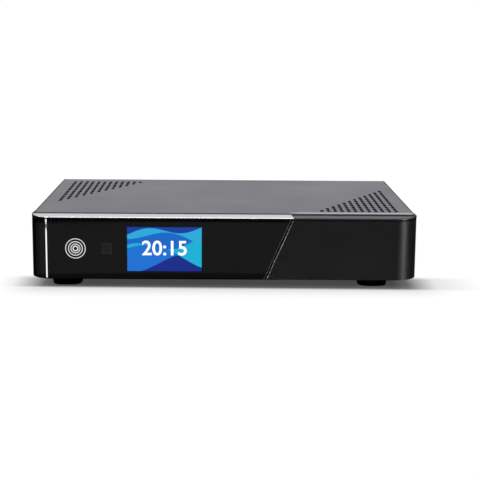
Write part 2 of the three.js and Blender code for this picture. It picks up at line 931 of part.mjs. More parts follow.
function footSolid(x, y) {
  const neck = floorTop + seatGap;
  const points = [
    [0, 0],
    [foot.bottomRadius - foot.edge, 0],
    [foot.bottomRadius, foot.edge],
    [foot.topRadius, footHeight - foot.edge / 2],
    [foot.topRadius, footHeight],
    [foot.stemRadius, footHeight],
    [foot.stemRadius, neck],
    [foot.barbRadius, neck],
    [foot.stemRadius, neck + foot.barbHeight],
    [0, neck + foot.barbHeight],
  ];
  return turnedUpright(points.map(toVector), foot.segments, x, y);
}

function coverSection() {
  const outer = coverHalf;
  const bendX = outer - coverBend;
  const bendZ = bodyTop - coverBend;
  const left = [];
  const right = [];
  const innerLeft = [];
  const innerRight = [];
  for (let i = 0; i <= bendSegments; i += 1) {
    const angle = ((i / bendSegments) * Math.PI) / 2;
    const inward = coverBend - sheet;
    const [sine, cosine] = [Math.sin(angle), Math.cos(angle)];
    left.push([-bendX - coverBend * cosine, bendZ + coverBend * sine]);
    right.push([bendX + coverBend * sine, bendZ + coverBend * cosine]);
    innerLeft.push([-bendX - inward * sine, bendZ + inward * cosine]);
    innerRight.push([bendX + inward * cosine, bendZ + inward * sine]);
  }
  const inner = outer - sheet;
  return [
    [-outer, bodyBottom], ...left, ...right, [outer, bodyBottom],
    [inner, bodyBottom], ...innerRight, ...innerLeft, [-inner, bodyBottom],
  ].map(toVector);
}

// Two triangular fields of slots, each column one slot longer than the last
function ventPlaces() {
  const places = [];
  for (let column = 0; column < ventColumns; column += 1) {
    const x = coverHalf - ventEdgeX - column * ventPitchX;
    for (let step = 0; step < ventColumns - column; step += 1) {
      const along = ventLength / 2 + step * ventPitchY;
      places.push([-x, bodyDepth - ventEdgeY - along]);
      places.push([x, ledgeDepth + ventFrontEdgeY + along]);
    }
  }
  return places;
}

function topCover() {
  const folded = frontPrism(coverSection(), ledgeDepth, bodyDepth);
  const notchFront = ledgeDepth - overrun;
  const notchBack = sideReturn + seatGap;
  const notches = [-1, 1].map((side) => {
    const inner = coverInner - coverBend;
    const [x0, x1] = side < 0 ? [-frontWidth, -inner] : [inner, frontWidth];
    return block(x0, x1, notchFront, notchBack, 0, coverUnder);
  });
  const vents = ventPlaces().map(([x, y]) => (
    planPrism(slotPoints(x, y, ventWidth, ventLength), coverUnder - overrun, bodyTop + overrun)));
  const screwHoles = coverScrewPlaces().map((y) => coverScrewHole(y));
  return cutFrom(folded, [...notches, ...vents, ...screwHoles, ...sideSlots()]);
}

function sideSlots() {
  const left = -coverHalf - overrun;
  const right = -coverInner + overrun;
  return [[slotMouthZ(), slotCage], [cardMouthZ(), cardReader]].map(([z, piece]) => {
    const half = piece.mouthWidth / 2 + slotReveal;
    const rise = piece.mouthHeight / 2 + slotReveal;
    return block(left, right, slotY - half, slotY + half, z - rise, z + rise);
  });
}

// Places along the rear: the row is spread evenly between the two sides of the cover

function socketPlaces() {
  const widths = {
    tuner: tuner.width,
    optical: optical.width,
    pictureOut: picture.width,
    pictureIn: picture.width,
    data: dataPort.width,
    network: network.width,
    inlet: inlet.width,
    rocker: rocker.width + 2 * (seatGap + bezelRing.cheek + bezelRing.lip),
    caddy: 2 * (thumbOffset() + caddy.faceMargin),
  };
  const taken = Object.values(widths).reduce((total, width) => total + width);
  const gap = (2 * coverInner - taken) / (Object.keys(widths).length + 1);
  const places = {};
  let edge = -coverInner;
  for (const [name, width] of Object.entries(widths)) {
    places[name] = edge + gap + width / 2;
    edge += gap + width;
  }
  return places;
}

const rowX = socketPlaces();
const boardRight = rowX.inlet + inlet.width / 2 + board.margin;
const chipX = boardLeft + (boardRight - boardLeft) * chip.acrossShare;
const cableX = chipX - cable.chipOffset;
const chipY = board.front + (boardRear - board.front) * chip.backShare;
const slotY = board.front + slotCage.frontGap + slotCage.width / 2;
const rockerZ = floorTop + bezelRing.rise;
const barrelZ = boardTop + tuner.height / 2;

function barrelPlaces() {
  return [-1, 1].map((side) => rowX.tuner + (side * barrel.spacing) / 2);
}

function thumbOffset() {
  return caddyOuter() / 2 + thumb.caddyGap;
}

function thumbX() {
  return rowX.caddy - thumbOffset();
}

function rearPanel() {
  const top = coverUnder - seatGap;
  const wall = block(-baseHalf, baseHalf, panelInner, bodyDepth, floorTop, top);
  const flangeHalf = baseHalf - sheet - seatGap;
  const flangeFront = panelInner - rearFlange;
  const flange = block(-flangeHalf, flangeHalf, flangeFront, bodyDepth, floorTop, floorTop + sheet);
  const y0 = panelInner - overrun;
  const y1 = bodyDepth + overrun;
  const square = (x, width, height) => (
    centredBlock(x, width + 2 * seatGap, y0, y1, boardTop - seatGap, boardTop + height + seatGap));
  const cuts = [
    square(rowX.optical, optical.width, optical.height),
    square(rowX.pictureOut, picture.width, picture.height),
    square(rowX.pictureIn, picture.width, picture.height),
    square(rowX.data, dataPort.width, dataPort.height),
    square(rowX.network, network.width, network.height),
    square(rowX.inlet, inlet.width, inlet.height),
    centredBlock(
      rowX.rocker, rocker.width + 2 * (bezelRing.cheek + 2 * seatGap), y0, y1,
      rockerZ - bezelRing.height / 2 - bezelRing.wall - seatGap,
      rockerZ + bezelRing.height / 2 + bezelRing.wall + seatGap,
    ),
    centredBlock(
      rowX.caddy, caddyOuter() + 2 * seatGap, y0, y1, caddyFloor() - seatGap, caddyTop() + seatGap,
    ),
    rodAlongY(thumb.shank + screwGap, y0, y1, screwSegments, thumbX(), caddyFaceZ()),
    ...barrelPlaces().map((x) => rodAlongY(barrel.radius + seatGap, y0, y1, barrel.segments, x, barrelZ)),
  ];
  return cutFrom(wall.add(flange), cuts);
}

// Screws: pan heads with a cross cut in them

function screwProfile(start, screw, out) {
  return [
    [0, start + out * screw.headHeight],
    [screw.headRadius * headShare, start + out * screw.headHeight],
    [screw.headRadius, start + out * screw.headHeight * headShare],
    [screw.headRadius, start],
    [screw.radius, start],
    [screw.radius, start - out * screw.length],
    [0, start - out * screw.length],
  ].map(toVector);
}

function boardScrewSolid(x, y) {
  return turnedUpright(screwProfile(boardTop, boardScrew, 1), screwSegments, x, y);
}

function frontScrewSolid(x, z) {
  const start = frontBoardY + frontBoard.thickness;
  const short = { ...boardScrew, length: frontBoard.thickness + frontBoardY - backingRear - seatGap };
  return turnedAlongY(screwProfile(start, short, 1), screwSegments, x, z);
}

function coverScrewSolid(side, y) {
  const z = floorTop + coverScrew.rise;
  const head = coverHalf + coverScrew.headHeight;
  const geometry = new THREE.LatheGeometry(screwProfile(coverHalf, coverScrew, 1), screwSegments);
  geometry.rotateZ(-Math.PI / 2);
  geometry.translate(0, y, z);
  const drive = [[driveLength, driveWidth], [driveWidth, driveLength]].map(([u, v]) => (
    block(head - driveDepth, head + overrun, y - u / 2, y + u / 2, z - v / 2, z + v / 2)));
  const solid = toGeometry(cutFrom(toSolid(geometry), drive));
  if (side < 0) {
    solid.translate(0, -y, 0);
    solid.rotateZ(Math.PI);
    solid.translate(0, y, 0);
  }
  return toSolid(solid);
}

// Main board and what stands on it

function mainBoard() {
  const plate = block(boardLeft, boardRight, board.front, boardRear, boardUnder, boardTop);
  const screwRoom = boardScrew.radius + screwGap;
  const holes = boardHolePlaces().map(([x, y]) => (
    rodUpright(screwRoom, boardUnder - overrun, boardTop + overrun, screwSegments, x, y)));
  const top = boardTop + cable.headerHeight;
  const inset = board.front + cable.headerInset;
  const frontHeader = centredBlock(
    cableX, cable.headerWidth, inset, inset + cable.headerDepth, boardUnder, top,
  );
  const edge = boardRight - cable.headerInset;
  const diskHeader = block(
    edge - cable.headerDepth, edge,
    diskCableY() - cable.headerWidth / 2, diskCableY() + cable.headerWidth / 2, boardUnder, top,
  );
  const leadHeader = centredBlock(
    leadEnd()[0], lead.headerWidth, leadEnd()[1] - lead.headerDepth, leadEnd()[1],
    boardUnder, boardTop + lead.headerHeight,
  );
  return cutFrom(joined([plate, frontHeader, diskHeader, leadHeader]), holes);
}

function processorChip() {
  const half = chip.size / 2;
  return centredBlock(chipX, chip.size, chipY - half, chipY + half, boardTop, boardTop + chip.height);
}

function heatSink() {
  const z0 = boardTop + chip.height;
  const z1 = z0 + sink.height;
  const left = chipX - sink.width / 2;
  const pitch = (sink.width - sink.finThickness) / (sink.finCount - 1);
  const points = [[left, z0], [left + sink.width, z0]];
  for (let i = sink.finCount - 1; i >= 0; i -= 1) {
    const x = left + i * pitch;
    points.push([x + sink.finThickness, z1], [x, z1]);
    if (i > 0) points.push([x, z0 + sink.base], [x - pitch + sink.finThickness, z0 + sink.base]);
  }
  const half = sink.depth / 2;
  return frontPrism(points.map(toVector), chipY - half, chipY + half);
}

function clockCell() {
  const top = boardTop + cell.height;
  const points = [
    [0, boardTop],
    [cell.radius - cell.rim * 2, boardTop],
    [cell.radius - cell.rim, boardTop + cell.rim],
    [cell.radius, boardTop + cell.rim * 2],
    [cell.radius, top - cell.rim],
    [cell.radius - cell.rim, top],
    [0, top],
  ];
  const x = cageRight() + cell.cageGap + cell.radius;
  return turnedUpright(points.map(toVector), cell.segments, x, board.front + cell.frontGap + cell.radius);
}

// The first capacitor stands beside the heat sink
function canX() {
  return chipX + sink.width / 2 + can.sinkGap + can.radius;
}

function capacitor(x, y) {
  const top = boardTop + can.height;
  const groove = boardTop + can.grooveRise;
  const points = [
    [0, boardTop], [can.radius, boardTop], [can.radius, groove - can.groove],
    [can.radius - can.groove, groove], [can.radius, groove + can.groove],
    [can.radius, top - can.rim], [can.radius - can.rim, top], [0, top],
  ];
  return turnedUpright(points.map(toVector), can.segments, x, y);
}

function powerCoil(x, y) {
  const half = coil.size / 2;
  const cut = half - coil.corner;
  const points = [
    [-half, -cut],
    [-cut, -half],
    [cut, -half],
    [half, -cut],
    [half, cut],
    [cut, half],
    [-cut, half],
    [-half, cut],
  ].map(([u, v]) => toVector([x + u, y + v]));
  return planPrism(points, boardTop, boardTop + coil.height);
}

// Tuner and its two aerial sockets

function tunerCan() {
  const y1 = panelInner - tuner.clearance;
  const y0 = y1 - tuner.depth;
  const top = boardTop + tuner.height;
  const lidBottom = top - tuner.lidHeight;
  const inner = tuner.width - 2 * tuner.lidStep;
  const body = centredBlock(rowX.tuner, inner, y0 + tuner.lidStep, y1 - tuner.lidStep, boardTop, top);
  const lid = centredBlock(rowX.tuner, tuner.width, y0, y1, lidBottom, top);
  return body.add(lid);
}

function aerialSocket(x) {
  const start = panelInner - tuner.clearance + pressGap;
  const tip = barrelTip;
  const points = [
    [0, start],
    [barrel.radius, start],
    [barrel.radius, tip - barrel.rim],
    [barrel.radius - barrel.rim, tip],
    [barrel.radius - barrel.rim * 2, tip],
    [barrel.radius - barrel.rim * 2 - barrel.shoulder, tip - barrel.shoulder],
    [barrel.bore, tip - barrel.shoulder],
    [barrel.bore, tip - barrel.boreDepth],
    [0, tip - barrel.boreDepth],
  ];
  return turnedAlongY(points.map(toVector), barrel.segments, x, barrelZ);
}

function aerialNut(x) {
  const outline = circlePoints(nut.radius, nut.sides, x, barrelZ);
  const hole = rodAlongY(barrel.radius + seatGap, 0, barrelTip, barrel.segments, x, barrelZ);
  return frontPrism(outline, bodyDepth, bodyDepth + nut.thickness).subtract(hole);
}

// Optical output with its spring shutter

function opticalSocket() {
  const y1 = bodyDepth + socketReach;
  const top = boardTop + optical.height;
  const shell = centredBlock(rowX.optical, optical.width, y1 - optical.depth, y1, boardTop, top);
  const mouth = centredBlock(
    rowX.optical, optical.width - 2 * optical.wall, y1 - optical.mouthDepth, y1 + overrun,
    boardTop + optical.wall, top - optical.wall,
  );
  const reach = optical.width / 2 + overrun;
  const [y, z] = shutterHinge();
  const radius = shutter.pin + shutter.pinGap;
  const pinHole = rodAlongX(radius, rowX.optical - reach, rowX.optical + reach, shutter.segments, y, z);
  return cutFrom(shell, [mouth, pinHole]);
}

function shutterHinge() {
  const ceiling = boardTop + optical.height - optical.wall;
  return [bodyDepth + socketReach - shutter.setback, ceiling - seatGap - shutter.barrel];
}

function opticalShutter() {
  const [y, z] = shutterHinge();
  const half = optical.width / 2 - optical.wall - seatGap;
  const floor = boardTop + optical.wall + seatGap;
  const x = rowX.optical;
  const plate = centredBlock(x, 2 * half, y - shutter.thickness / 2, y + shutter.thickness / 2, floor, z);
  const knuckle = rodAlongX(shutter.barrel, x - half, x + half, shutter.segments, y, z);
  const pinHalf = half + seatGap + optical.wall / 2;
  const pin = rodAlongX(shutter.pin, x - pinHalf, x + pinHalf, shutter.segments, y, z);
  return joined([plate, knuckle, pin]);
}

// Picture, data, network and power sockets

function pictureSocket(x) {
  const y1 = bodyDepth + socketReach;
  const shell = centredBlock(x, picture.width, y1 - picture.depth, y1, boardTop, boardTop + picture.height);
  const z0 = boardTop + (picture.height - picture.mouthHeight) / 2;
  const z1 = z0 + picture.mouthHeight;
  const half = picture.mouthWidth / 2;
  const outline = [
    [x - half + picture.slope, z0], [x + half - picture.slope, z0], [x + half, z0 + picture.slope],
    [x + half, z1], [x - half, z1], [x - half, z0 + picture.slope],
  ];
  const mouth = frontPrism(outline.map(toVector), y1 - picture.mouthDepth, y1 + overrun);
  const middle = (z0 + z1) / 2;
  const back = y1 - picture.mouthDepth - pressGap;
  const tongue = centredBlock(
    x, pictureTongue.width, back, back + pictureTongue.depth,
    middle - pictureTongue.thickness / 2, middle + pictureTongue.thickness / 2,
  );
  return shell.subtract(mouth).add(tongue);
}

function dataSocket() {
  const x = rowX.data;
  const y1 = bodyDepth + socketReach;
  const top = boardTop + dataPort.height;
  const shell = centredBlock(x, dataPort.width, y1 - dataPort.depth, y1, boardTop, top);
  const rise = dataPort.height / dataPort.count;
  const back = y1 - dataPort.mouthDepth;
  let socket = shell;
  for (let i = 0; i < dataPort.count; i += 1) {
    const middle = boardTop + rise * i + rise / 2;
    const z0 = middle - dataPort.mouthHeight / 2;
    const z1 = middle + dataPort.mouthHeight / 2;
    const mouth = centredBlock(x, dataPort.mouthWidth, back, y1 + overrun, z0, z1);
    const tongueTop = z1 - dataTongue.wall;
    const tongueBottom = tongueTop - dataTongue.thickness;
    const tongue = centredBlock(
      x, dataTongue.width, back - pressGap, back + dataTongue.depth, tongueBottom, tongueTop,
    );
    socket = socket.subtract(mouth).add(tongue);
  }
  return socket;
}

function networkSocket() {
  const x = rowX.network;
  const y1 = bodyDepth + socketReach;
  const shell = centredBlock(x, network.width, y1 - network.depth, y1, boardTop, boardTop + network.height);
  const z1 = boardTop + network.height - networkLatch.rise;
  const z0 = z1 - network.mouthHeight;
  const back = y1 - network.mouthDepth;
  const mouth = centredBlock(x, network.mouthWidth, back, y1 + overrun, z0, z1);
  const latchBottom = z0 - networkLatch.height;
  const latch = centredBlock(x, networkLatch.width, back, y1 + overrun, latchBottom, z0 + pressGap);
  return cutFrom(shell, [mouth, latch]);
}

function powerInlet() {
  const x = rowX.inlet;
  const y1 = bodyDepth + socketReach;
  const z = boardTop + inlet.height / 2;
  const shell = centredBlock(x, inlet.width, y1 - inlet.depth, y1, boardTop, boardTop + inlet.height);
  const back = y1 - inlet.boreDepth;
  const bore = rodAlongY(inlet.bore, back, y1 + overrun, inlet.segments, x, z);
  const pin = rodAlongY(inlet.pin, back - pressGap, y1 - inlet.pinSetback, inlet.segments, x, z);
  return shell.subtract(bore).add(pin);
}

// Rocker switch: a frame pushed through the panel and a rocker on two stub pins

function switchFrame() {
  const x = rowX.rocker;
  const width = rocker.width + 2 * (seatGap + bezelRing.cheek);
  const half = bezelRing.height / 2 + bezelRing.wall;
  const flangeFront = bodyDepth + bezelRing.thickness;
  const rear = bodyDepth - bezelRing.depth;
  const body = centredBlock(x, width, rear, flangeFront, rockerZ - half, rockerZ + half);
  const lip = half + bezelRing.lip;
  const flange = centredBlock(
    x, width + 2 * bezelRing.lip, bodyDepth, flangeFront, rockerZ - lip, rockerZ + lip,
  );
  const sweep = rocker.back + rocker.backHalf * Math.sin(rocker.tilt);
  const cavityFront = rockerPivotY() - sweep - bezelRing.backGap;
  const cavity = centredBlock(
    x, rocker.width + 2 * seatGap, cavityFront, flangeFront + overrun,
    rockerZ - bezelRing.height / 2, rockerZ + bezelRing.height / 2,
  );
  const pinHoles = rodAlongX(
    rocker.pin + seatGap, x - width, x + width, rocker.segments, rockerPivotY(), rockerZ,
  );
  return cutFrom(body.add(flange), [cavity, pinHoles]);
}

function rockerPivotY() {
  return bodyDepth - rocker.pivotDepth;
}

// The rocker is drawn level about its pins and then tipped
function rockerSolid() {
  const outline = [
    [-rocker.back, -rocker.backHalf],
    [rocker.horn - rocker.back, -rocker.half],
    [rocker.horn, -rocker.half],
    [rocker.crest, 0],
    [rocker.horn, rocker.half],
    [rocker.horn - rocker.back, rocker.half],
    [-rocker.back, rocker.backHalf],
  ].map(toVector);
  const half = rocker.width / 2;
  const pinHalf = half + seatGap + rocker.pinReach;
  const pins = rodAlongX(rocker.pin, -pinHalf, pinHalf, rocker.segments, 0, 0);
  return sidePrism(outline, -half, half).add(pins);
}

function leadStart() {
  return [rowX.rocker, bodyDepth - bezelRing.depth - pressGap, rockerZ];
}

function leadEnd() {
  return [rowX.inlet - lead.headerWidth, boardRear - inlet.depth - lead.headerGap];
}

function switchLead() {
  const start = new THREE.Vector3(...leadStart());
  const end = new THREE.Vector3(leadEnd()[0], leadEnd()[1] + pressGap, boardTop + lead.headerHeight / 2);
  const reach = (start.y - end.y) / 2 + lead.headerDepth;
  const path = new THREE.CubicBezierCurve3(
    start,
    start.clone().add(new THREE.Vector3(0, -reach, 0)),
    end.clone().add(new THREE.Vector3(0, reach, 0)),
    end,
  );
  const section = new THREE.Shape(circlePoints(lead.radius, lead.sides, 0, 0));
  const geometry = new THREE.ExtrudeGeometry(section, {
    steps: lead.steps, extrudePath: path, bevelEnabled: false,
  });
  return toSolid(geometry);
}

// Card slots

function cageRight() {
  return slotSetback - coverInner + slotCage.depth;
}

function slotMouthZ() {
  return boardTop + cardReader.height + slotCage.wall + slotCage.mouthHeight / 2;
}

function cardMouthZ() {
  return boardTop + cardReader.rise + cardReader.mouthHeight / 2;
}

function moduleCage() {
  const left = -coverInner + slotSetback;
  const right = cageRight();
  const z0 = boardTop + cardReader.height;
  const half = slotCage.width / 2;
  const shell = block(left, right, slotY - half, slotY + half, z0, z0 + slotCage.height);
  const mouthHalf = slotCage.mouthWidth / 2;
  const z = slotMouthZ();
  const mouth = block(
    left - overrun, right - overrun, slotY - mouthHalf, slotY + mouthHalf,
    z - slotCage.mouthHeight / 2, z + slotCage.mouthHeight / 2,
  );
  return shell.subtract(mouth);
}

function smartCardReader() {
  const left = -coverInner + slotSetback;
  const right = left + cardReader.depth;
  const half = cardReader.width / 2;
  const top = boardTop + cardReader.height;
  const shell = block(left, right, slotY - half, slotY + half, boardTop, top);
  const mouthHalf = cardReader.mouthWidth / 2;
  const z = cardMouthZ();
  const mouth = block(
    left - overrun, left + cardReader.mouthDepth, slotY - mouthHalf, slotY + mouthHalf,
    z - cardReader.mouthHeight / 2, z + cardReader.mouthHeight / 2,
  );
  return shell.subtract(mouth);
}

// Disk, caddy and bay

function caddyOuter() {
  return disk.width + 2 * (caddy.wall + pressGap);
}

function caddyFloor() {
  return floorTop + sheet + bay.rail + seatGap;
}

function caddyTop() {
  return caddyFloor() + caddy.floor + disk.height + caddy.rim;
}

function caddyFaceZ() {
  return floorTop + caddy.faceInset + caddy.faceHeight / 2;
}

function diskRear() {
  return panelInner - caddy.wall;
}

function diskFront() {
  return diskRear() - disk.depth;
}

// One folded section, with rails inside its foot and lips over the caddy's rims
function bayOutline(half, top) {
  const outer = half + bay.wall;
  const lipX = half - bay.lip;
  const railX = half - bay.railWidth;
  const floor = floorTop + sheet;
  const right = [
    [outer, floorTop], [outer, top + bay.wall], [lipX, top + bay.wall], [lipX, top],
    [half, top], [half, floor + bay.rail], [railX, floor + bay.rail], [railX, floor],
  ];
  const left = right.map(([x, z]) => [-x, z]).reverse();
  return [...right, ...left].map(([x, z]) => new THREE.Vector2(rowX.caddy + x, z));
}

function diskBay() {
  const y0 = diskFront() - bay.front;
  const y1 = panelInner - rearFlange - seatGap;
  const half = caddyOuter() / 2 + seatGap;
  const channel = frontPrism(bayOutline(half, caddyTop() + seatGap), y0, y1);
  const stop = centredBlock(
    rowX.caddy, 2 * half + bay.wall, y0 + pressGap, y0 + bay.wall,
    floorTop + sheet / 2, plugZ() - plug.height / 2,
  );
  const footRoom = footPlaces().map(([, x, y]) => (
    rodUpright(foot.barbRadius + seatGap, floorTop - overrun, floorTop + overrun, foot.segments, x, y)));
  return cutFrom(channel.add(stop), footRoom);
}

function diskCaddy() {
  const half = caddyOuter() / 2;
  const faceFront = bodyDepth + seatGap;
  const z0 = caddyFloor();
  const z1 = caddyTop();
  const tray = centredBlock(rowX.caddy, 2 * half, diskFront(), faceFront + pressGap, z0, z1);
  const hollow = centredBlock(
    rowX.caddy, disk.width + 2 * pressGap, diskFront() - overrun, diskRear() + pressGap,
    z0 + caddy.floor, z1 + overrun,
  );
  const faceZ = caddyFaceZ();
  const faceHalf = caddy.faceHeight / 2;
  const face = centredBlock(
    rowX.caddy, 2 * (thumbOffset() + caddy.faceMargin), faceFront, faceFront + caddy.faceThickness,
    faceZ - faceHalf, faceZ + faceHalf,
  );
  const gripRear = faceFront + caddy.faceThickness + caddyGrip.reach;
  const grip = centredBlock(
    rowX.caddy, caddyGrip.width, faceFront + caddy.faceThickness - pressGap, gripRear,
    faceZ - caddyGrip.height / 2, faceZ + caddyGrip.height / 2,
  );
  const scoop = centredBlock(
    rowX.caddy, caddyGrip.width - 2 * caddyGrip.wall, faceFront + caddy.faceThickness + pressGap,
    gripRear - caddyGrip.wall, faceZ - caddyGrip.height, faceZ + caddyGrip.height / 2 - caddyGrip.wall,
  );
  const screwHole = rodAlongY(thumb.shank + screwGap, panelInner, gripRear, screwSegments, thumbX(), faceZ);
  return cutFrom(joined([tray.subtract(hollow), face, grip]), [scoop, screwHole]);
}

function diskDrive() {
  const bottom = caddyFloor() + caddy.floor;
  const top = bottom + disk.height;
  const body = centredBlock(rowX.caddy, disk.width, diskFront(), diskRear(), bottom, top - disk.edge);
  const lid = centredBlock(
    rowX.caddy, disk.width - 2 * disk.edge, diskFront() + disk.edge, diskRear() - disk.edge, top - disk.edge, top,
  );
  return body.add(lid);
}

function plugZ() {
  return caddyFloor() + caddy.floor + disk.height / 2;
}

function diskPlug() {
  const y1 = diskFront() - seatGap;
  const z = plugZ();
  const rise = plug.height / 2;
  const head = centredBlock(rowX.caddy, plug.width, y1 - plug.depth, y1, z - rise, z + rise);
  const post = centredBlock(
    rowX.caddy, plug.width, y1 - plug.depth, y1 - plug.depth / 2, floorTop + sheet, z,
  );
  const carrier = centredBlock(
    rowX.caddy, plug.width, diskCableY() - cable.width / 2, y1 - plug.depth + pressGap,
    z - board.thickness / 2, z + board.thickness / 2,
  );
  return joined([head, post, carrier]);
}

function diskCableY() {
  return diskFront() - bay.front - seatGap - cable.width / 2;
}

// The flat cable runs from the plug's carrier to the edge of the main board
function diskRibbon() {
  const start = [boardRight - cable.headerInset + pressGap, boardTop + cable.headerHeight / 2];
  const end = [rowX.caddy - plug.width / 2 - pressGap, plugZ()];
  const y = diskCableY();
  const half = cable.width / 2;
  return frontPrism(ribbonOutline(start, end), y - half, y + half);
}

function thumbScrew() {
  const start = bodyDepth + seatGap + caddy.faceThickness + seatGap;
  const end = start + thumb.length;
  const outline = [];
  for (let i = 0; i < thumb.teeth * 2; i += 1) {
    const radius = thumb.radius - (i % 2) * thumb.knurl;
    const angle = (i / (thumb.teeth * 2)) * Math.PI * 2;
    outline.push([thumbX() + radius * Math.cos(angle), caddyFaceZ() + radius * Math.sin(angle)]);
  }
  const head = frontPrism(outline.map(toVector), start, end);
  const shank = rodAlongY(
    thumb.shank, panelInner - thumb.shankBehind, start + pressGap, screwSegments, thumbX(), caddyFaceZ(),
  );
  const slot = centredBlock(
    thumbX(), thumb.radius * 2 + overrun, end - thumb.slot, end + overrun,
    caddyFaceZ() - thumb.slot / 2, caddyFaceZ() + thumb.slot / 2,
  );
  return head.add(shank).subtract(slot);
}

// The assembly

place('chassis_base', chassisBase(), 'bareSteel');
place('rear_panel', rearPanel(), 'coverSteel');
place('top_cover', topCover(), 'coverSteel');
place('front_bezel', frontBezel(), 'mattBlack');
place('front_window', frontWindow(), 'glossBlack');
place('trim_strip', trimStrip(), 'satinSilver');
place('display_screen', displayScreen(), 'screenGlass');
for (const [corner, x, y] of footPlaces()) place(`foot_${corner}`, footSolid(x, y), 'rubber');
coverScrewPlaces().forEach((y, i) => {
  place(`cover_screw_left_${i + 1}`, coverScrewSolid(-1, y), 'nickel');
  place(`cover_screw_right_${i + 1}`, coverScrewSolid(1, y), 'nickel');
});

place('lcd_module', lcdModule(), 'bareSteel');
place('front_board', frontBoardSolid(), 'boardGreen');
frontBossPlaces().forEach(([x, z], i) => {
  place(`front_board_screw_${i + 1}`, frontScrewSolid(x, z), 'nickel');
});
place('power_touch_pad', touchPad(), 'nickel');
place('infrared_eye', infraredEye(), 'chipBlack');
place('front_ribbon', frontRibbon(), 'cableWhite');

place('main_board', mainBoard(), 'boardGreen');
boardHolePlaces().forEach(([x, y], i) => {
  place(`board_screw_${i + 1}`, boardScrewSolid(x, y), 'nickel');
});
place('processor_chip', processorChip(), 'chipBlack');
place('heat_sink', heatSink(), 'aluminium');
place('clock_cell', clockCell(), 'nickel');
for (let i = 0; i < can.count; i += 1) {
  place(`capacitor_${i + 1}`, capacitor(canX() + i * can.spacing, chipY), 'canSleeve');
}
place('power_coil', powerCoil(canX(), chipY + coil.offset), 'chipBlack');

place('tuner_can', tunerCan(), 'nickel');
barrelPlaces().forEach((x, i) => {
  place(`aerial_socket_${i + 1}`, aerialSocket(x), 'nickel');
  place(`aerial_nut_${i + 1}`, aerialNut(x), 'nickel');
});
place('optical_socket', opticalSocket(), 'chipBlack');
place('optical_shutter', opticalShutter(), 'mattBlack');
place('picture_socket_out', pictureSocket(rowX.pictureOut), 'nickel');
place('picture_socket_in', pictureSocket(rowX.pictureIn), 'nickel');
place('data_socket', dataSocket(), 'nickel');
place('network_socket', networkSocket(), 'nickel');
place('power_inlet', powerInlet(), 'chipBlack');
place('switch_frame', switchFrame(), 'mattBlack');
const rockerMesh = place('power_rocker', rockerSolid(), 'mattBlack');
rockerMesh.position.set(rowX.rocker, rockerPivotY(), rockerZ);
rockerMesh.rotation.x = rocker.tilt;
place('switch_lead', switchLead(), 'leadRed');

place('module_cage', moduleCage(), 'bareSteel');
place('card_reader', smartCardReader(), 'chipBlack');

place('disk_bay', diskBay(), 'bareSteel');
place('disk_caddy', diskCaddy(), 'mattBlack');
place('disk_drive', diskDrive(), 'aluminium');
place('disk_plug', diskPlug(), 'chipBlack');
place('disk_ribbon', diskRibbon(), 'cableWhite');
place('caddy_thumb_screw', thumbScrew(), 'nickel');

export default receiver;
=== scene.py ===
import json
import math
from contextlib import contextmanager
from functools import partialmethod

import bmesh
import bpy
import numpy as np
from mathutils import Matrix, Vector


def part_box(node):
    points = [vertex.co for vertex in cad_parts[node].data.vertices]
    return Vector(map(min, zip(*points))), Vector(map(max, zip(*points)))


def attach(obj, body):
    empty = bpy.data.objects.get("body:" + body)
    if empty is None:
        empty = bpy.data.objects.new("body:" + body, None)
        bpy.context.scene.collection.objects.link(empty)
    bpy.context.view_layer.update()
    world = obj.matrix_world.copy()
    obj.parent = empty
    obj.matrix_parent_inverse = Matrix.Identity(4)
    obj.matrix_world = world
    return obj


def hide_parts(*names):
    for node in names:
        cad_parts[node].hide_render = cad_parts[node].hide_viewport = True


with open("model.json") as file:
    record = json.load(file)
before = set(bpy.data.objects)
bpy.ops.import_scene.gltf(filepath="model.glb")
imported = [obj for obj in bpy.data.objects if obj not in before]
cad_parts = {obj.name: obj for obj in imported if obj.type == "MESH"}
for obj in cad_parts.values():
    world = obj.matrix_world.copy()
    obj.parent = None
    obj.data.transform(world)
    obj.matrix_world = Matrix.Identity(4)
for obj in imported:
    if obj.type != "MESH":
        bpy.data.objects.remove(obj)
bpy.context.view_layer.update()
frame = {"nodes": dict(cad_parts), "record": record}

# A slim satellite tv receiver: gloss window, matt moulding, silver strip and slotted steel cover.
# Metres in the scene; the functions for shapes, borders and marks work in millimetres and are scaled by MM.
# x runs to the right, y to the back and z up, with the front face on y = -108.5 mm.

MM = 0.001

# Front panel lines, in millimetres
HALF_WIDTH = 155.0
FRONT = -108.5
SIDE_BACK = -84.5
CORNER = 18.0
PLATE_HALF = 153.5
PLATE_TOP = 59.3
PLATE_FRONT = -97.5
PLATE_BACK = 96.5
PLATE_BEND = 1.5
RIM_INSET = 0.15
SHEET = 1.0
FOLD_START = 151.6
BODY_BOTTOM = 7.5
LOWER_ROUND = 2.4
WINDOW_LOW = 8.3
WINDOW_HIGH = 56.1
WINDOW_WALL = 2.0
LIP_LOW = 56.9
LIP_DROP = 0.55
LEDGE_HIGH = 58.3
SEAM_TOP = 54.8
SEAM_LEAN = 0.436
SEAM_GAP = 0.8
SEAM_CHAMFER = (1.3, 0.8)
MATT_START = 54.0
STRIP_LEAN = 1.6

# The picture: its middle, its borders in x and z, and the window's opening for it
PICTURE_MIDDLE = (-47.6, 32.2)
PICTURE_SIZE = (59.8, 36.6)
PICTURE_BORDERS = ((-77.4, -18.2), (14.1, 49.8))
OPENING_X = (-77.45, -17.75)
OPENING_Z = (13.95, 50.45)

# The slots: columns in a field, pitch across and back, half the width and half the straight length, and
# how far the middle of the first slot is from the cover's side, front and back
SLOT_COLUMNS = 12
SLOT_PITCH = (5.5, 10.0)
SLOT_HALF = (1.3, 3.0)
SLOT_START = (13.9, 15.0, 19.3)

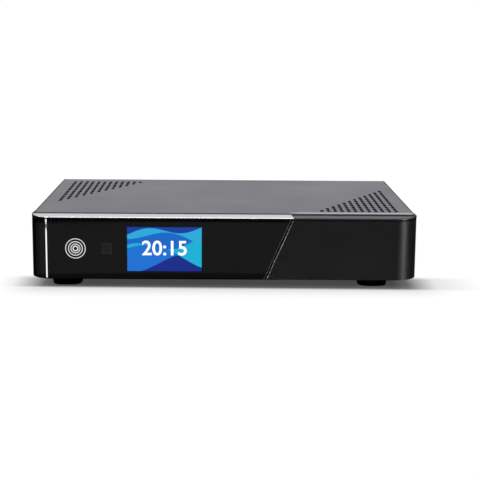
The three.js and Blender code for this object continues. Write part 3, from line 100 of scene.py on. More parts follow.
# Cuts in the cover: behind the moulding on both sides, then the module and card slots; the four screws
SIDE_CUTS = (((-160, -100, 0), (-151, -84.2, 58.3)), ((151, -100, 0), (160, -84.2, 58.3)),
             ((-156, -47.5, 19.6), (-150.5, 8.5, 26.4)), ((-156, -47.4, 15.7), (-150.5, 8.4, 18.3)))
SCREW_PLACES = ((-153, -60.5, 11.5), (153, -60.5, 11.5), (-153, 77.5, 11.5), (153, 77.5, 11.5))

# The touch key's rings as (radius, line width), and the infrared square
KEY_CENTRE = (-118.48, 32.2)
KEY_RINGS = ((7.8, 0.62), (5.5, 0.68), (3.6, 0.65), (1.85, 0.9))
KEY_HUB = (1.2, 1.45)
EYE_CENTRE = (-93.57, 32.2)
EYE_SIZE = (8.2, 8.8)

FLIP = np.array([-1.0, 1.0])


# Meshes

def added(name, data):
    """A new object in the scene."""
    made = bpy.data.objects.new(name, data)
    bpy.context.scene.collection.objects.link(made)
    return made


@contextmanager
def opened(mesh):
    """A mesh opened for the mesh operators, and written back afterwards."""
    work = bmesh.new()
    work.from_mesh(mesh)
    yield work
    work.to_mesh(mesh)
    work.free()


def frozen(holder):
    """An object's shape as a new mesh, with its modifiers; the object goes."""
    bpy.context.view_layer.update()
    mesh = bpy.data.meshes.new_from_object(holder.evaluated_get(bpy.context.evaluated_depsgraph_get()))
    bpy.data.objects.remove(holder)
    return mesh


def read(rows, name, size=3):
    """One measure of a mesh's points or faces, as an array."""
    values = np.empty(len(rows) * size)
    rows.foreach_get(name, values)
    return values.reshape(-1, size)


def plain_mesh(name, parts):
    """One mesh in metres from several (points, faces) parts in millimetres."""
    points, faces, start = [], [], 0
    for some, quads in parts:
        points.append(np.asarray(some).reshape(-1, 3))
        faces += [[int(i) + start for i in face] for face in quads]
        start += len(points[-1])
    mesh = bpy.data.meshes.new(name)
    mesh.from_pydata((np.vstack(points) * MM).tolist(), [], faces)
    return mesh


def piece(name, points, faces, slot, smooth, hides=(), looks=None):
    """A named mesh on the receiver's body from points in millimetres, with its slot's look or others."""
    mesh = plain_mesh(name, [(points, faces)])
    return finished(name, mesh, looks or [LOOKS[slot]], "receiver", hides, smooth)


def finished(name, mesh, looks, body, hides, smooth):
    """Puts a mesh into the scene as a piece that rides on a body and stands for the nodes it hides.

    It is welded, faces out and is smooth except at edges over an angle.
    """
    with opened(mesh) as work:
        bmesh.ops.remove_doubles(work, verts=work.verts, dist=2e-6)
        bmesh.ops.dissolve_degenerate(work, edges=work.edges, dist=1e-6)
        bmesh.ops.recalc_face_normals(work, faces=work.faces)
    for look in looks:
        mesh.materials.append(look)
    mesh.shade_smooth()
    mesh.set_sharp_from_angle(angle=math.radians(smooth))
    made = added(name, mesh)
    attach(made, body)
    if hides:
        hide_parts(*hides)
    return made


def even_faces(made):
    """Weighted normals, so that broad faces stay flat beside their rounded edges."""
    even = made.modifiers.new("even_faces", "WEIGHTED_NORMAL")
    even.keep_sharp = True
    even.weight = 60


def broken_edges(made, width, angle=30.0, segments=2):
    """A small even bevel on every edge sharper than the angle."""
    edge = made.modifiers.new("broken_edges", "BEVEL")
    edge.width = width * MM
    edge.segments = segments
    edge.limit_method = "ANGLE"
    edge.angle_limit = math.radians(angle)
    edge.use_clamp_overlap = True
    edge.harden_normals = False
    even_faces(made)


def painted(made, tests):
    """Gives faces their finish by place: a test reads x, y, z (mm) and the normals; a later one wins."""
    faces = made.data.polygons
    x, y, z = (read(faces, "center") / MM).T
    way = read(faces, "normal").T
    chosen = np.zeros(len(faces), dtype=np.int32)
    for number, test in enumerate(tests, 1):
        chosen[test(x, y, z, way)] = number
    faces.foreach_set("material_index", chosen)


def within(low, high):
    """A test for faces whose centre lies in a box in millimetres."""
    return lambda x, y, z, way: np.all([(a < v) & (v < b) for a, v, b in zip(low, (x, y, z), high)], axis=0)


def grid_faces(rows, columns, around=False, along=False):
    """Quads between neighbours of a rows x columns grid, closed around its columns or along its rows."""
    i = np.arange(rows if along else rows - 1)[:, None]
    j = np.arange(columns if around else columns - 1)
    here, ahead, after = i * columns, (i + 1) % rows * columns, (j + 1) % columns
    return np.stack([here + j, here + after, ahead + after, ahead + j], axis=-1).reshape(-1, 4)


def tube_faces(rings, count):
    """The faces of a tube of equal rings of points, with both ends closed."""
    ring = np.arange(count)
    ends = [ring.tolist(), (ring + (rings - 1) * count).tolist()]
    return grid_faces(rings, count, around=True).tolist() + ends


def turned(profile, centre, axis, segments, radius_scale=None):
    """A profile of (radius, height) pairs carried round an axis; the radius may vary with the angle.

    The point at angle t is centre + radius(t) * (cos t, sin t) across the axis + height along it.
    """
    profile = np.asarray(profile, float)
    angle = np.linspace(0, 2 * np.pi, segments, endpoint=False)
    scale = np.ones((len(profile), segments)) if radius_scale is None else radius_scale(profile, angle)
    u = profile[:, :1] * scale * np.cos(angle)
    v = profile[:, :1] * scale * np.sin(angle)
    w = np.repeat(profile[:, 1:2], segments, axis=1)
    order = {"z": (u, v, w), "y": (u, w, v), "x": (w, u, v)}[axis]
    return np.stack(order, axis=-1) + np.asarray(centre), grid_faces(len(profile), segments, around=True)


def quarter(start, end, steps, first_turn):
    """A quarter of an ellipse between two places; first_turn is which of their numbers changes first."""
    t = np.linspace(0, np.pi / 2, steps)
    a, b = np.asarray(start, float), np.asarray(end, float)
    along = np.stack([np.sin(t), 1 - np.cos(t)] if first_turn == 0 else [1 - np.cos(t), np.sin(t)], axis=1)
    return a + (b - a) * along


def middle(node):
    """A node's middle and its lowest and highest corner, in millimetres."""
    low, high = (np.array(v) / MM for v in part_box(node))
    return (low + high) / 2, low, high


# Shader nodes

class Value:
    """A node's output to calculate with: each sum, product or other step is one more Math node."""

    def __init__(self, made, output=0):
        self.socket = made.outputs[output]
        self.tree = made.id_data

    def maths(self, operation, *others):
        made = self.tree.nodes.new("ShaderNodeMath")
        made.operation = operation
        for socket, value in zip(made.inputs, (self, *others)):
            put(socket, value)
        return Value(made)

    __add__ = partialmethod(maths, "ADD")
    __sub__ = partialmethod(maths, "SUBTRACT")
    __mul__ = partialmethod(maths, "MULTIPLY")
    __truediv__ = partialmethod(maths, "DIVIDE")
    __neg__ = partialmethod(maths, "MULTIPLY", -1.0)
    __abs__ = partialmethod(maths, "ABSOLUTE")

    def rest(self):
        """What is left of a share: 1 minus it."""
        return self.maths("MULTIPLY_ADD", -1.0, 1.0)


def most(first, *others):
    """The largest of some values."""
    for other in others:
        first = first.maths("MAXIMUM", other)
    return first


def put(socket, value):
    """Links a value to a socket, or sets a number, a vector or an (r, g, b) on it."""
    if isinstance(value, Value):
        value.tree.links.new(value.socket, socket)
    else:
        socket.default_value = (*value, 1.0) if socket.type == "RGBA" else value


def feed(made, **values):
    """Fills a node's inputs; a name is written with _ for each space."""
    for name, value in values.items():
        put(made.inputs[name.replace("_", " ")], value)
    return made


def new_node(tree, kind, settings=(), **values):
    """A shader node with its settings and inputs."""
    made = tree.nodes.new("ShaderNode" + kind)
    for name, value in dict(settings).items():
        setattr(made, name, value)
    return feed(made, **values)


def ramp(value, low, high, start=0.0, end=1.0, smooth=False):
    """Maps a value from low..high to start..end, clamped."""
    made = new_node(value.tree, "MapRange", {"interpolation_type": "SMOOTHSTEP" if smooth else "LINEAR"},
                    Value=value, From_Min=low, From_Max=high, To_Min=start, To_Max=end)
    return Value(made, "Result")


def mix(share, first, second):
    """Mixes two colours by a share; a colour is a value or an (r, g, b)."""
    made = new_node(share.tree, "Mix", {"data_type": "RGBA"})
    for place, value in ((0, share), (6, first), (7, second)):
        put(made.inputs[place], value)
    return Value(made, 2)


def object_place(tree):
    return Value(new_node(tree, "TexCoord"), "Object")


def split(vector):
    parts = new_node(vector.tree, "SeparateXYZ", Vector=vector)
    return [Value(parts, axis) for axis in "XYZ"]


def spot_in_mm(tree):
    """The place on the object as x, y and z in millimetres."""
    return [along / MM for along in split(object_place(tree))]


def noise(place, scale, detail=2.0, roughness=0.5):
    made = new_node(place.tree, "TexNoise", Vector=place, Scale=scale, Detail=detail, Roughness=roughness)
    return Value(made, "Fac")


def shader_group(name, inputs, outputs, pattern):
    """A shader group: the pattern is a function from the input values to one value for each output."""
    group = bpy.data.node_groups.new(name, "ShaderNodeTree")
    for key, default in inputs.items():
        kind = "NodeSocketFloat" if isinstance(default, float) else "NodeSocketVector"
        made = group.interface.new_socket(name=key, in_out="INPUT", socket_type=kind)
        if default is not None:
            made.default_value = default
    for key in outputs:
        group.interface.new_socket(name=key, in_out="OUTPUT", socket_type="NodeSocketFloat")
    start = group.nodes.new("NodeGroupInput")
    end = group.nodes.new("NodeGroupOutput")
    results = pattern(*(Value(start, key) for key in inputs))
    feed(end, **dict(zip(outputs, results)))
    return group


def powder_pattern(place, grain):
    """Powder coat: rounded pimples from two sizes of noise, and a broad cloud of slightly duller places."""
    return noise(place, grain) * 0.6 + noise(place, grain * 0.4, 1.0) * 0.4, noise(place, 14.0, 3.0)


def moulded_pattern(place, grain):
    """Spark-eroded mould texture: fine cells with softened edges, plus noise; a cloud of hand-worn sheen."""
    cells = new_node(place.tree, "TexVoronoi", {"feature": "SMOOTH_F1"}, Vector=place, Scale=grain)
    return Value(cells, "Distance") * 0.7 + noise(place, 3800.0) * 0.3, noise(place, 22.0, 4.0)


def brushed_pattern(place, across):
    """Lines drawn out along one axis: noise on a place that is stretched thin across the lines."""
    scaled = new_node(place.tree, "VectorMath", {"operation": "MULTIPLY"})
    put(scaled.inputs[0], place)
    put(scaled.inputs[1], across)
    return [noise(Value(scaled), 1.0, 3.0, 0.6)]


def ring_pattern(distance, radius, half_line):
    """Printed ring: 1 where the distance is within half a line of the radius, with a soft edge."""
    return [ramp(half_line - abs(distance - radius), -0.08, 0.08)]


GROUPS = {name: shader_group(name, inputs, outputs, pattern) for name, inputs, outputs, pattern in (
    ("powder_coat", {"Place": None, "Grain": 1500.0}, ("Height", "Cloud"), powder_pattern),
    ("moulded_texture", {"Place": None, "Grain": 2600.0}, ("Height", "Sheen"), moulded_pattern),
    ("brushed_lines", {"Place": None, "Across": (40.0, 2600.0, 2600.0)}, ("Lines",), brushed_pattern),
    ("printed_ring", {"Distance": 0.0, "Radius": 5.0, "Half Line": 0.4}, ("Mask",), ring_pattern),
)}


def placed(tree, name, *outputs, **values):
    """Places a shader group in a material with its own values, and gives the outputs that are asked for."""
    made = new_node(tree, "Group", {"node_tree": GROUPS[name]}, **values)
    return [Value(made, output) for output in outputs]


def material(name, colour, roughness, metal=0.0, specular=0.5):
    """A Principled material; the look functions then link patterns into it."""
    made = bpy.data.materials.new(name)
    made.use_nodes = True
    made.diffuse_color = (*colour, 1.0)
    tree = made.node_tree
    shader = feed(tree.nodes["Principled BSDF"], Base_Color=colour, Roughness=roughness, Metallic=metal,
                  Specular_IOR_Level=specular, IOR=1.5)
    return made, tree, shader


def bump(shader, height, distance):
    """Feeds a height to the shader's normal; the distance is the height of a full step, in metres."""
    feed(shader, Normal=Value(new_node(height.tree, "Bump", Height=height, Distance=distance, Strength=1.0)))


def uneven(share, roughness, spread):
    """A roughness that a pattern varies by a spread to both sides."""
    return ramp(share, 0.3, 0.7, roughness - spread, roughness + spread)


def toned(colour, factor):
    return tuple(min(1.0, c * factor) for c in colour)


def grey(level):
    return level, level, level


def powder_coated(name, colour, roughness, grain=1500.0, depth=0.00002, specular=0.5, rim=None):
    """Powder-coated steel: pimpled, with a cloud that varies its roughness and tone a little.

    A rim is a painted highlight: a lighter colour on the top's front edge to the right of the seam, seen only
    at a glancing view.
    """
    made, tree, shader = material(name, colour, roughness, specular=specular)
    height, cloud = placed(tree, "powder_coat", "Height", "Cloud", Place=object_place(tree), Grain=grain)
    bump(shader, height, depth)
    coat = mix(cloud, colour, toned(colour, 1.12))
    if rim:
        x, y, z = spot_in_mm(tree)
        share = ramp(x, MATT_START - 3.0, MATT_START + 6.0) * ramp(y, PLATE_FRONT + 9.0, PLATE_FRONT + 6.0)
        share = share * ramp(z, PLATE_TOP - 0.2, PLATE_TOP - 0.1)
        share = share * ramp(Value(new_node(tree, "LayerWeight"), "Facing"), 0.62, 0.8)
        coat = mix(share, coat, rim)
    feed(shader, Base_Color=coat, Roughness=uneven(cloud, roughness, 0.03))
    return made


def moulded(name, colour, roughness, grain=2600.0, depth=0.000012, specular=0.5):
    """Moulded plastic with a fine eroded texture and slightly uneven sheen."""
    made, tree, shader = material(name, colour, roughness, specular=specular)
    height, sheen = placed(tree, "moulded_texture", "Height", "Sheen", Place=object_place(tree), Grain=grain)
    bump(shader, height, depth)
    feed(shader, Base_Color=mix(sheen, colour, toned(colour, 1.25)), Roughness=uneven(sheen, roughness, 0.04))
    return made


def brushed(name, colour, roughness, across, depth=0.000004):
    """Metal with lines drawn along one axis, in tone, roughness and height."""
    made, tree, shader = material(name, colour, roughness, metal=1.0)
    lines, = placed(tree, "brushed_lines", "Lines", Place=object_place(tree), Across=across)
    bump(shader, lines, depth)
    feed(shader, Base_Color=mix(lines, toned(colour, 0.9), colour), Roughness=uneven(lines, roughness, 0.06))
    return made


def spangled(name, colour, roughness):
    """Zinc-coated steel: large soft crystals that differ a little in tone and roughness."""
    made, tree, shader = material(name, colour, roughness, metal=1.0)
    place = object_place(tree)
    tone = split(Value(new_node(tree, "TexVoronoi", Vector=place, Scale=170.0), "Color"))[0]
    feed(shader, Base_Color=mix(tone, toned(colour, 0.86), colour),
         Roughness=ramp(tone, 0.0, 1.0, roughness - 0.06, roughness + 0.08))
    bump(shader, noise(place, 900.0), 0.000006)
    return made


def gloss_black():
    """Piano-black acrylic with the touch key's rings and the faint infrared square printed behind it.

    The printed rings also glow a little: painted light.
    """
    colour = (0.0026, 0.0010, 0.0014)
    made, tree, shader = material("piano_black_acrylic", colour, 0.045)
    x, y, z = spot_in_mm(tree)
    front = y.maths("LESS_THAN", FRONT + 1.0)
    dx, dz = x - KEY_CENTRE[0], z - KEY_CENTRE[1]
    distance = (dx * dx + dz * dz).maths("SQRT")
    inner = KEY_RINGS[2][0]
    mark = ramp(distance, inner, inner - 0.4) * 0.1
    for radius, line in KEY_RINGS:
        ring, = placed(tree, "printed_ring", "Mask", Distance=distance, Radius=radius, Half_Line=line / 2)
        mark = most(mark, ring)
    mark = mark * ramp(distance, *KEY_HUB) * front
    inked = mix(mark, colour, (0.8, 0.8, 0.81))
    # Painted light: the printed rings glow a little on top of their white print.
    feed(shader, Emission_Color=mix(mark, (0, 0, 0), grey(0.45)), Emission_Strength=1.0)
    wide, high = abs(x - EYE_CENTRE[0]), abs(z - EYE_CENTRE[1])
    apart = most(wide - EYE_SIZE[0] / 2, high - EYE_SIZE[1] / 2)
    square = (ramp(apart, 0.3, -0.3) - ramp(apart, -1.1, -1.6) * 0.5) * front
    feed(shader, Base_Color=mix(square * 0.5, inked, (0.055, 0.05, 0.05)),
         Roughness=ramp(noise(object_place(tree), 30.0, 4.0), 0.4, 0.8, 0.012, 0.035))
    return made


def lit_picture():
    """The display: soft wave bands in cyan, azure and indigo behind the acrylic's face.

    Each band's border is a height v = level + slope * u + swing * sin(rate * u + phase), where u and v run
    over the picture's width and height. The bands are stacked from the lowest border to the highest, and fine
    picture cells darken the light a little.
    """
    made, tree, shader = material("lit_display", grey(0.002), 0.045)
    x, _, z = spot_in_mm(tree)
    u = (x - PICTURE_MIDDLE[0]) / PICTURE_SIZE[0]
    v = (z - PICTURE_MIDDLE[1]) / PICTURE_SIZE[1]
    colour = (0.004, 0.022, 0.26)
    bands = (
        (-0.30, 0.25, 0.12, 5.2, 0.4, (0.008, 0.17, 0.68)),
        (-0.12, -0.30, 0.16, 4.4, 2.1, (0.006, 0.46, 0.70)),
        (0.09, 0.22, 0.12, 6.0, 4.0, (0.006, 0.14, 0.60)),
        (0.24, -0.20, 0.13, 5.0, 1.2, (0.022, 0.42, 0.74)),
        (0.40, 0.16, 0.09, 6.5, 3.1, (0.006, 0.045, 0.34)),
    )
    for level, slope, swing, rate, phase, tone in bands:
        border = u * slope + level + (u * rate + phase).maths("SINE") * swing
        colour = mix(ramp(v - border, -0.006, 0.006), colour, tone)
    flat = Value(new_node(tree, "CombineXYZ", X=x, Y=z))
    cell = 0.24
    cells = new_node(tree, "TexBrick", {"offset": 0.0}, Vector=flat, Scale=1.0, Mortar_Size=0.02,
                     Brick_Width=cell, Row_Height=cell)
    shade = ramp(Value(cells, "Fac"), 0.0, 1.0, 1.0, 0.8)
    for along, (start, end) in zip((x, z), PICTURE_BORDERS):
        shade = shade * ramp(along, start - 0.1, start + 0.1) * ramp(along, end + 0.1, end - 0.1)
    dimmed = new_node(tree, "VectorMath", {"operation": "SCALE"}, Vector=colour, Scale=shade)
    feed(shader, Emission_Color=Value(dimmed), Emission_Strength=1.0)
    return made


def lit_mark():
    made, tree, shader = material("lit_digits", grey(0.8), 0.1)
    glow = ramp(noise(object_place(tree), 2500.0), 0.2, 0.8, 0.86, 0.96)
    feed(shader, Emission_Color=glow, Emission_Strength=0.9)
    return made


def solder_mask():
    """Green board: mask over copper lines on a fine square pitch, with pale pads."""
    made, tree, shader = material("solder_mask", (0.012, 0.09, 0.035), 0.35)
    place = object_place(tree)
    lines = Value(new_node(tree, "TexBrick", Vector=place, Scale=1.0, Mortar_Size=0.0002, Brick_Width=0.009,
                           Row_Height=0.0011), "Fac")
    traces = mix(lines, (0.010, 0.075, 0.030), (0.02, 0.14, 0.05))
    pads = ramp(Value(new_node(tree, "TexVoronoi", Vector=place, Scale=320.0), "Distance"), 0.16, 0.13)
    feed(shader, Base_Color=mix(pads, traces, (0.5, 0.5, 0.48)))
    bump(shader, lines, 0.00002)
    return made


def flat_cable():
    """White flat cable with parallel conductors 1 mm apart across its width."""
    made, tree, shader = material("flat_cable", (0.62, 0.62, 0.58), 0.45)
    x, y, _ = spot_in_mm(tree)
    wave = ((x + y) * (2 * math.pi)).maths("SINE")
    feed(shader, Base_Color=mix(ramp(wave, -0.4, 0.4), (0.40, 0.40, 0.37), (0.66, 0.66, 0.62)))
    bump(shader, wave, 0.00006)
    return made


LOOKS = {
    # The cover's rim colour is a painted highlight on its front edge to the right of the seam.
    "cover_steel": powder_coated("satin_black_coat", (0.028, 0.025, 0.044), 0.42, depth=0.000014,
                                 rim=(0.30, 0.30, 0.31)),
    "panel_steel": powder_coated("black_panel_coat", (0.022, 0.022, 0.023), 0.5, 1300.0),
    "zinc_steel": spangled("zinc_coated_steel", (0.55, 0.56, 0.57), 0.34),
    "matt_moulding": moulded("matt_moulded_black", grey(0.0046), 0.40, depth=0.00001, specular=0.21),
    "gloss_window": gloss_black(),
    "silver_trim": brushed("satin_silver", (0.55, 0.55, 0.57), 0.30, (30.0, 3000.0, 3000.0), 0.0000005),
    "screen": lit_picture(),
    # The feet are darker than black rubber alone: partly their own black, partly painted shade for the shade
    # under the body.
    "rubber_feet": moulded("foot_rubber_with_painted_shade", grey(0.0014), 0.8, 1800.0, 0.00003, specular=0.0),
    "screws": brushed("zinc_screw", (0.5, 0.5, 0.49), 0.3, (1200.0, 1200.0, 1200.0)),
    "circuit_board": solder_mask(),
    "chip_plastic": moulded("black_housing", grey(0.012), 0.5, 2200.0),
    "sink_aluminium": brushed("extruded_aluminium", (0.62, 0.62, 0.64), 0.35, (2400.0, 60.0, 2400.0)),
    "plated_metal": brushed("nickel_plate", (0.64, 0.62, 0.58), 0.2, (900.0, 900.0, 900.0)),
    "tuner_metal": spangled("tinned_plate", grey(0.6), 0.3),
    "socket_shell": brushed("tinned_shell", grey(0.58), 0.25, (2000.0, 50.0, 2000.0)),
    "can_sleeve": moulded("sleeve_blue", (0.012, 0.03, 0.11), 0.35, 1500.0),
    "ribbon": flat_cable(),
    "lead_sheath": moulded("red_sheath", (0.25, 0.015, 0.012), 0.4, 1500.0),
    "drive_casing": brushed("cast_casing", (0.5, 0.51, 0.53), 0.4, (800.0, 800.0, 800.0)),
}
INSERT = moulded("socket_insert", grey(0.01), 0.45, 2200.0, 0.00001)
SHADE = moulded("groove_shade", grey(0.0008), 0.8, depth=0.00001, specular=0.08)
# Painted shade: the slot walls are near black, so that the slots look dark inside.
SLOT_WALL_SHADE = powder_coated("slot_wall_painted_shade", grey(0.001), 0.8, depth=0.000014, specular=0.03)
# Painted shade: the side folds are darker and duller than the coat, for a dark line along the top's side
# edges.
FOLD_SHADE = powder_coated("folded_edge_painted_shade", (0.02, 0.018, 0.03), 0.8, depth=0.00001, specular=0.08)
# Painted highlight: light grey on the seam's chamfers gives their light lines.
SEAM_HIGHLIGHT = moulded("seam_painted_highlight", grey(0.11), 0.3, depth=0.000002, specular=0.6)
SMOOTH_LEDGE = moulded("smooth_ledge", grey(0.0045), 0.40, depth=0.000006)
GOLD = brushed("gold_plate", (0.72, 0.50, 0.20), 0.22, (900.0, 900.0, 900.0))
INSULATOR = moulded("white_insulator", (0.62, 0.61, 0.56), 0.4, 1800.0, 0.000008)
MARK_WHITE = moulded("white_print", grey(0.62), 0.5, 3000.0, 0.000004)
DIGITS = lit_mark()


# Front panel pieces

def seam(z):
    """The seam leans: it moves to the left by its lean times the way down from the lip."""
    return SEAM_TOP - (LIP_LOW - z) * SEAM_LEAN


def raised(plan, height):
    """Adds a height to the (x, y) places of a grid, one for each of its columns."""
    return np.concatenate([plan, np.broadcast_to(height[:, None], (*plan.shape[:-1], 1))], axis=-1)


def gloss_window():
    """A sheet of even thickness carried along the front line.

    A column is a place on the line with its outward direction: side, quarter circle, front. A row is a pair
    (depth below the outer face, height) round the sheet's section. Columns past the picture slide to the
    leaning seam in proportion, the last ones are sunk for the chamfer, and the picture's cells are left out.
    """
    edge = 0.3
    lower = quarter((0.15, WINDOW_LOW), (0, WINDOW_LOW + 0.15), 5, 0)
    upper = quarter((0, WINDOW_HIGH - edge), (edge, WINDOW_HIGH), 6, 1)
    section = np.vstack([lower, [[0, z] for z in OPENING_Z], [[0, WINDOW_HIGH - edge - 1.5]], upper,
                         [[WINDOW_WALL, z] for z in (WINDOW_HIGH, *OPENING_Z[::-1], WINDOW_LOW)]])
    depth, height = section.T
    bend = np.linspace(0, np.pi / 2, 49)
    turn = np.stack([np.cos(bend), np.sin(bend)], axis=1)
    on_front = [[x, FRONT] for x in (-100.0, OPENING_X[0], PICTURE_MIDDLE[0], OPENING_X[1])]
    on_corner = [CORNER - HALF_WIDTH, FRONT + CORNER] - CORNER * turn
    place = np.vstack([[[-HALF_WIDTH, SIDE_BACK]], on_corner, on_front])
    out = np.vstack([[[-1, 0]], -turn, [[0, -1]] * len(on_front)])
    points = raised(place[:, None] - out[:, None] * depth[:, None], height)
    wide, deep = SEAM_CHAMFER
    steps = ((0.5, wide, 0.0), (1.0, wide, 0.0), (1.0, wide / 2, deep / 2), (1.0, 0.0, deep))
    ends = []
    for share, back, sunk in steps:
        x = OPENING_X[1] + (seam(height) - SEAM_GAP - back - OPENING_X[1]) * share
        ends.append(np.stack([x, FRONT + np.maximum(depth, sunk), height], axis=1))
    points = np.concatenate([points, ends])
    columns, rows = points.shape[:2]
    left = len(place) - 3
    outer, inner = len(lower), len(section) - 3
    left_out = [column * rows + row for column in (left, left + 1) for row in (outer, inner)]
    faces = [face for face in tube_faces(columns, rows) if face[0] not in left_out]
    for first in (left * rows, (left + 1) * rows):
        for a, b in ((outer, inner + 1), (outer + 1, inner)):
            faces.append([first + a, first + rows + a, first + rows + b, first + b])
    for first in (left * rows, (left + 2) * rows):
        faces.append([first + outer, first + outer + 1, first + inner, first + inner + 1])
    made = piece("gloss_window", points, faces, "gloss_window", 30.0, ("front_window",),
                 [LOOKS["gloss_window"], SHADE, SEAM_HIGHLIGHT])

    def top(x, y, z, way):
        return z > WINDOW_HIGH - edge

    # The window's chamfer at the seam takes the painted highlight.
    def chamfer(x, y, z, way):
        return (np.abs(x - seam(z) + SEAM_GAP + wide * 0.75) < 0.2) & (way[0] > 0.2) & (way[1] < -0.3)

    painted(made, [top, chamfer])
    even_faces(made)


def ledge_points(right_end, section):
    """One section carried from outer points on the front line to inner points on the cover's edge.

    A section point (share, z) lies that share of the way in from the outer point. On a corner the outer point
    runs round the circle, while the inner one runs along the cover's front edge and then back along its side.
    """
    centre = HALF_WIDTH - CORNER
    share = np.linspace(0, 1, 41)
    angle = share * np.pi / 2
    along, back = np.minimum(share * 2, 1), np.maximum(share * 2 - 1, 0)
    outer = np.stack([centre + CORNER * np.sin(angle), FRONT + CORNER * (1 - np.cos(angle))], axis=1)
    inner = np.stack([centre + along * (PLATE_HALF - centre),
                      PLATE_FRONT + back * (FRONT + CORNER - PLATE_FRONT)], axis=1)
    outer = np.vstack([outer, [HALF_WIDTH, SIDE_BACK]])[::-1] * FLIP
    inner = np.vstack([inner, [PLATE_HALF, SIDE_BACK]])[::-1] * FLIP
    outer = np.vstack([outer, [right_end, FRONT]])
    inner = np.vstack([inner, [right_end, PLATE_FRONT]])
    way, height = section.T
    return raised(outer[:, None] + (inner - outer)[:, None] * way[:, None], height)


def silver_strip():
    """The strip's section has a rounded lip, a top that rises gently and a tuck under the cover.

    Its right end leans to the left going back, and its front corner is cut off there.
    """
    lip = quarter((0, LIP_LOW + 0.2), (0.1, 57.755), 8, 1)
    section = np.vstack([[[0.012, LIP_LOW], [0, LIP_LOW + 0.12]], lip,
                         [[0.35, 58.02], [0.7, 58.44], [0.95, 58.78], [0.972, 58.80], [0.985, LEDGE_HIGH],
                          [1.25, LEDGE_HIGH], [1.25, LIP_LOW]]])
    points = ledge_points(SEAM_TOP, section)
    points[-1, :, 0] -= STRIP_LEAN * section[:, 0]
    end = points[-1].copy()
    points[-1, :, 0] -= 0.9
    end[:, 1] += np.where(section[:, 0] < 0.5, 0.55, 0.0)
    faces = tube_faces(len(points) + 1, len(section))
    made = piece("silver_strip", [*points, end], faces, "silver_trim", 32.0, ("trim_strip",),
                 [LOOKS["silver_trim"], SHADE])
    painted(made, [lambda x, y, z, way: way[2] < -0.9])
    even_faces(made)


def picture_face():
    """A flat face with a rounded rim: rows step in from the outline and forward to the window's face."""
    _, low, high = middle("display_screen")
    points = []
    for inset, y in ((0.0, high[1]), (0.0, FRONT + 0.16), (0.12, FRONT + 0.05)):
        x0, z0, x1, z1 = low[0] + inset, low[2] + inset, high[0] - inset, high[2] - inset
        points += [(x0, y, z0), (x1, y, z0), (x1, y, z1), (x0, y, z1)]
    piece("picture_face", points, tube_faces(3, 4), "screen", 20.0, ("display_screen",))


def facing(place, right, normal):
    """A turn and place, in metres: text runs along right, stands square to it and faces along the normal."""
    side = Vector(right).normalized()
    out = Vector(normal).normalized()
    turn = Matrix((side, out.cross(side), out)).transposed().to_4x4()
    return Matrix.Translation(Vector(place) * MM) @ turn


def lettering(name, words, size, where, look, body, weight, rise=0.01):
    """Generic figures or marks as a thin raised mesh; the curve becomes a mesh before it is placed."""
    text = bpy.data.curves.new(name + "_text", "FONT")
    text.body = words
    text.size = size * MM
    text.align_x = "CENTER"
    text.align_y = "CENTER"
    text.extrude = rise * MM
    text.offset = weight * MM
    mesh = frozen(added(name + "_holder", text))
    mesh.transform(where)
    finished(name, mesh, [look], body, (), 30.0)


def foot(node):
    """A rubber foot: flat base with a rounded edge, a shallow ring groove and a cone up, squarish in plan.

    Below the body, the radius at turn t is multiplied by (|cos t|^3 + |sin t|^3)^(-1/3).
    """
    centre, _, _ = middle(node)

    def squarish(profile, angle):
        square = (np.abs(np.cos(angle)) ** 3 + np.abs(np.sin(angle)) ** 3) ** (-1 / 3)
        return 1 + (square - 1) * (profile[:, :1] > 7.0)

    profile = np.vstack([[[0.0, 0.6], [6.4, 0.6], [6.8, 0.0]], quarter((11.1, 0.0), (11.6, 0.5), 5, 0),
                         [[12.35, 4.9], [12.55, 5.1], [12.6, 5.7], [13.0, 6.9], [13.0, 7.5]],
                         [[4.0, 7.5], [4.0, 8.8], [5.2, 8.8], [4.0, 10.8], [0.0, 10.8]]])
    points, faces = turned(profile, (*centre[:2], 0.0), "z", 72, squarish)
    piece("rubber_" + node, points, faces, "rubber_feet", 40.0, (node,))


def cut_along(work, spot, way, near):
    """Cuts the faces that cross a plane through a spot (mm), so that each side can have its own finish."""
    bmesh.ops.bisect_plane(work, geom=work.verts[:] + work.edges[:] + work.faces[:], dist=near,
                           plane_co=[v * MM for v in spot], plane_no=way)


def node_copy(node, level=None, change=None):
    """A node's own mesh, its loose triangles merged and its flat faces joined.

    A level (mm) cuts the faces that cross it, and change moves the points, in millimetres.
    """
    mesh = frame["nodes"][node].data.copy()
    mesh.materials.clear()
    with opened(mesh) as work:
        bmesh.ops.remove_doubles(work, verts=work.verts, dist=3e-6)
        bmesh.ops.dissolve_limit(work, angle_limit=math.radians(0.5), verts=work.verts, edges=work.edges)
        if level:
            cut_along(work, (0, 0, level), (0, 0, 1), 1e-6)
        bmesh.ops.connect_verts_concave(work, faces=work.faces)
    if change:
        mesh.vertices.foreach_set("co", (change(read(mesh.vertices, "co") / MM) * MM).ravel())
    return mesh


def softened(node, width, angle=30.0, segments=2, paint=(), level=None, change=None):
    """A node's own shape with broken edges, on its own body; paint is pairs of a finish and its test."""
    looks = [LOOKS[slots[node]], *(finish for finish, _ in paint)]
    mesh = node_copy(node, level, change)
    made = finished("edged_" + node, mesh, looks, bodies[node], (node,), angle)
    painted(made, [test for _, test in paint])
    broken_edges(made, width, angle, segments)


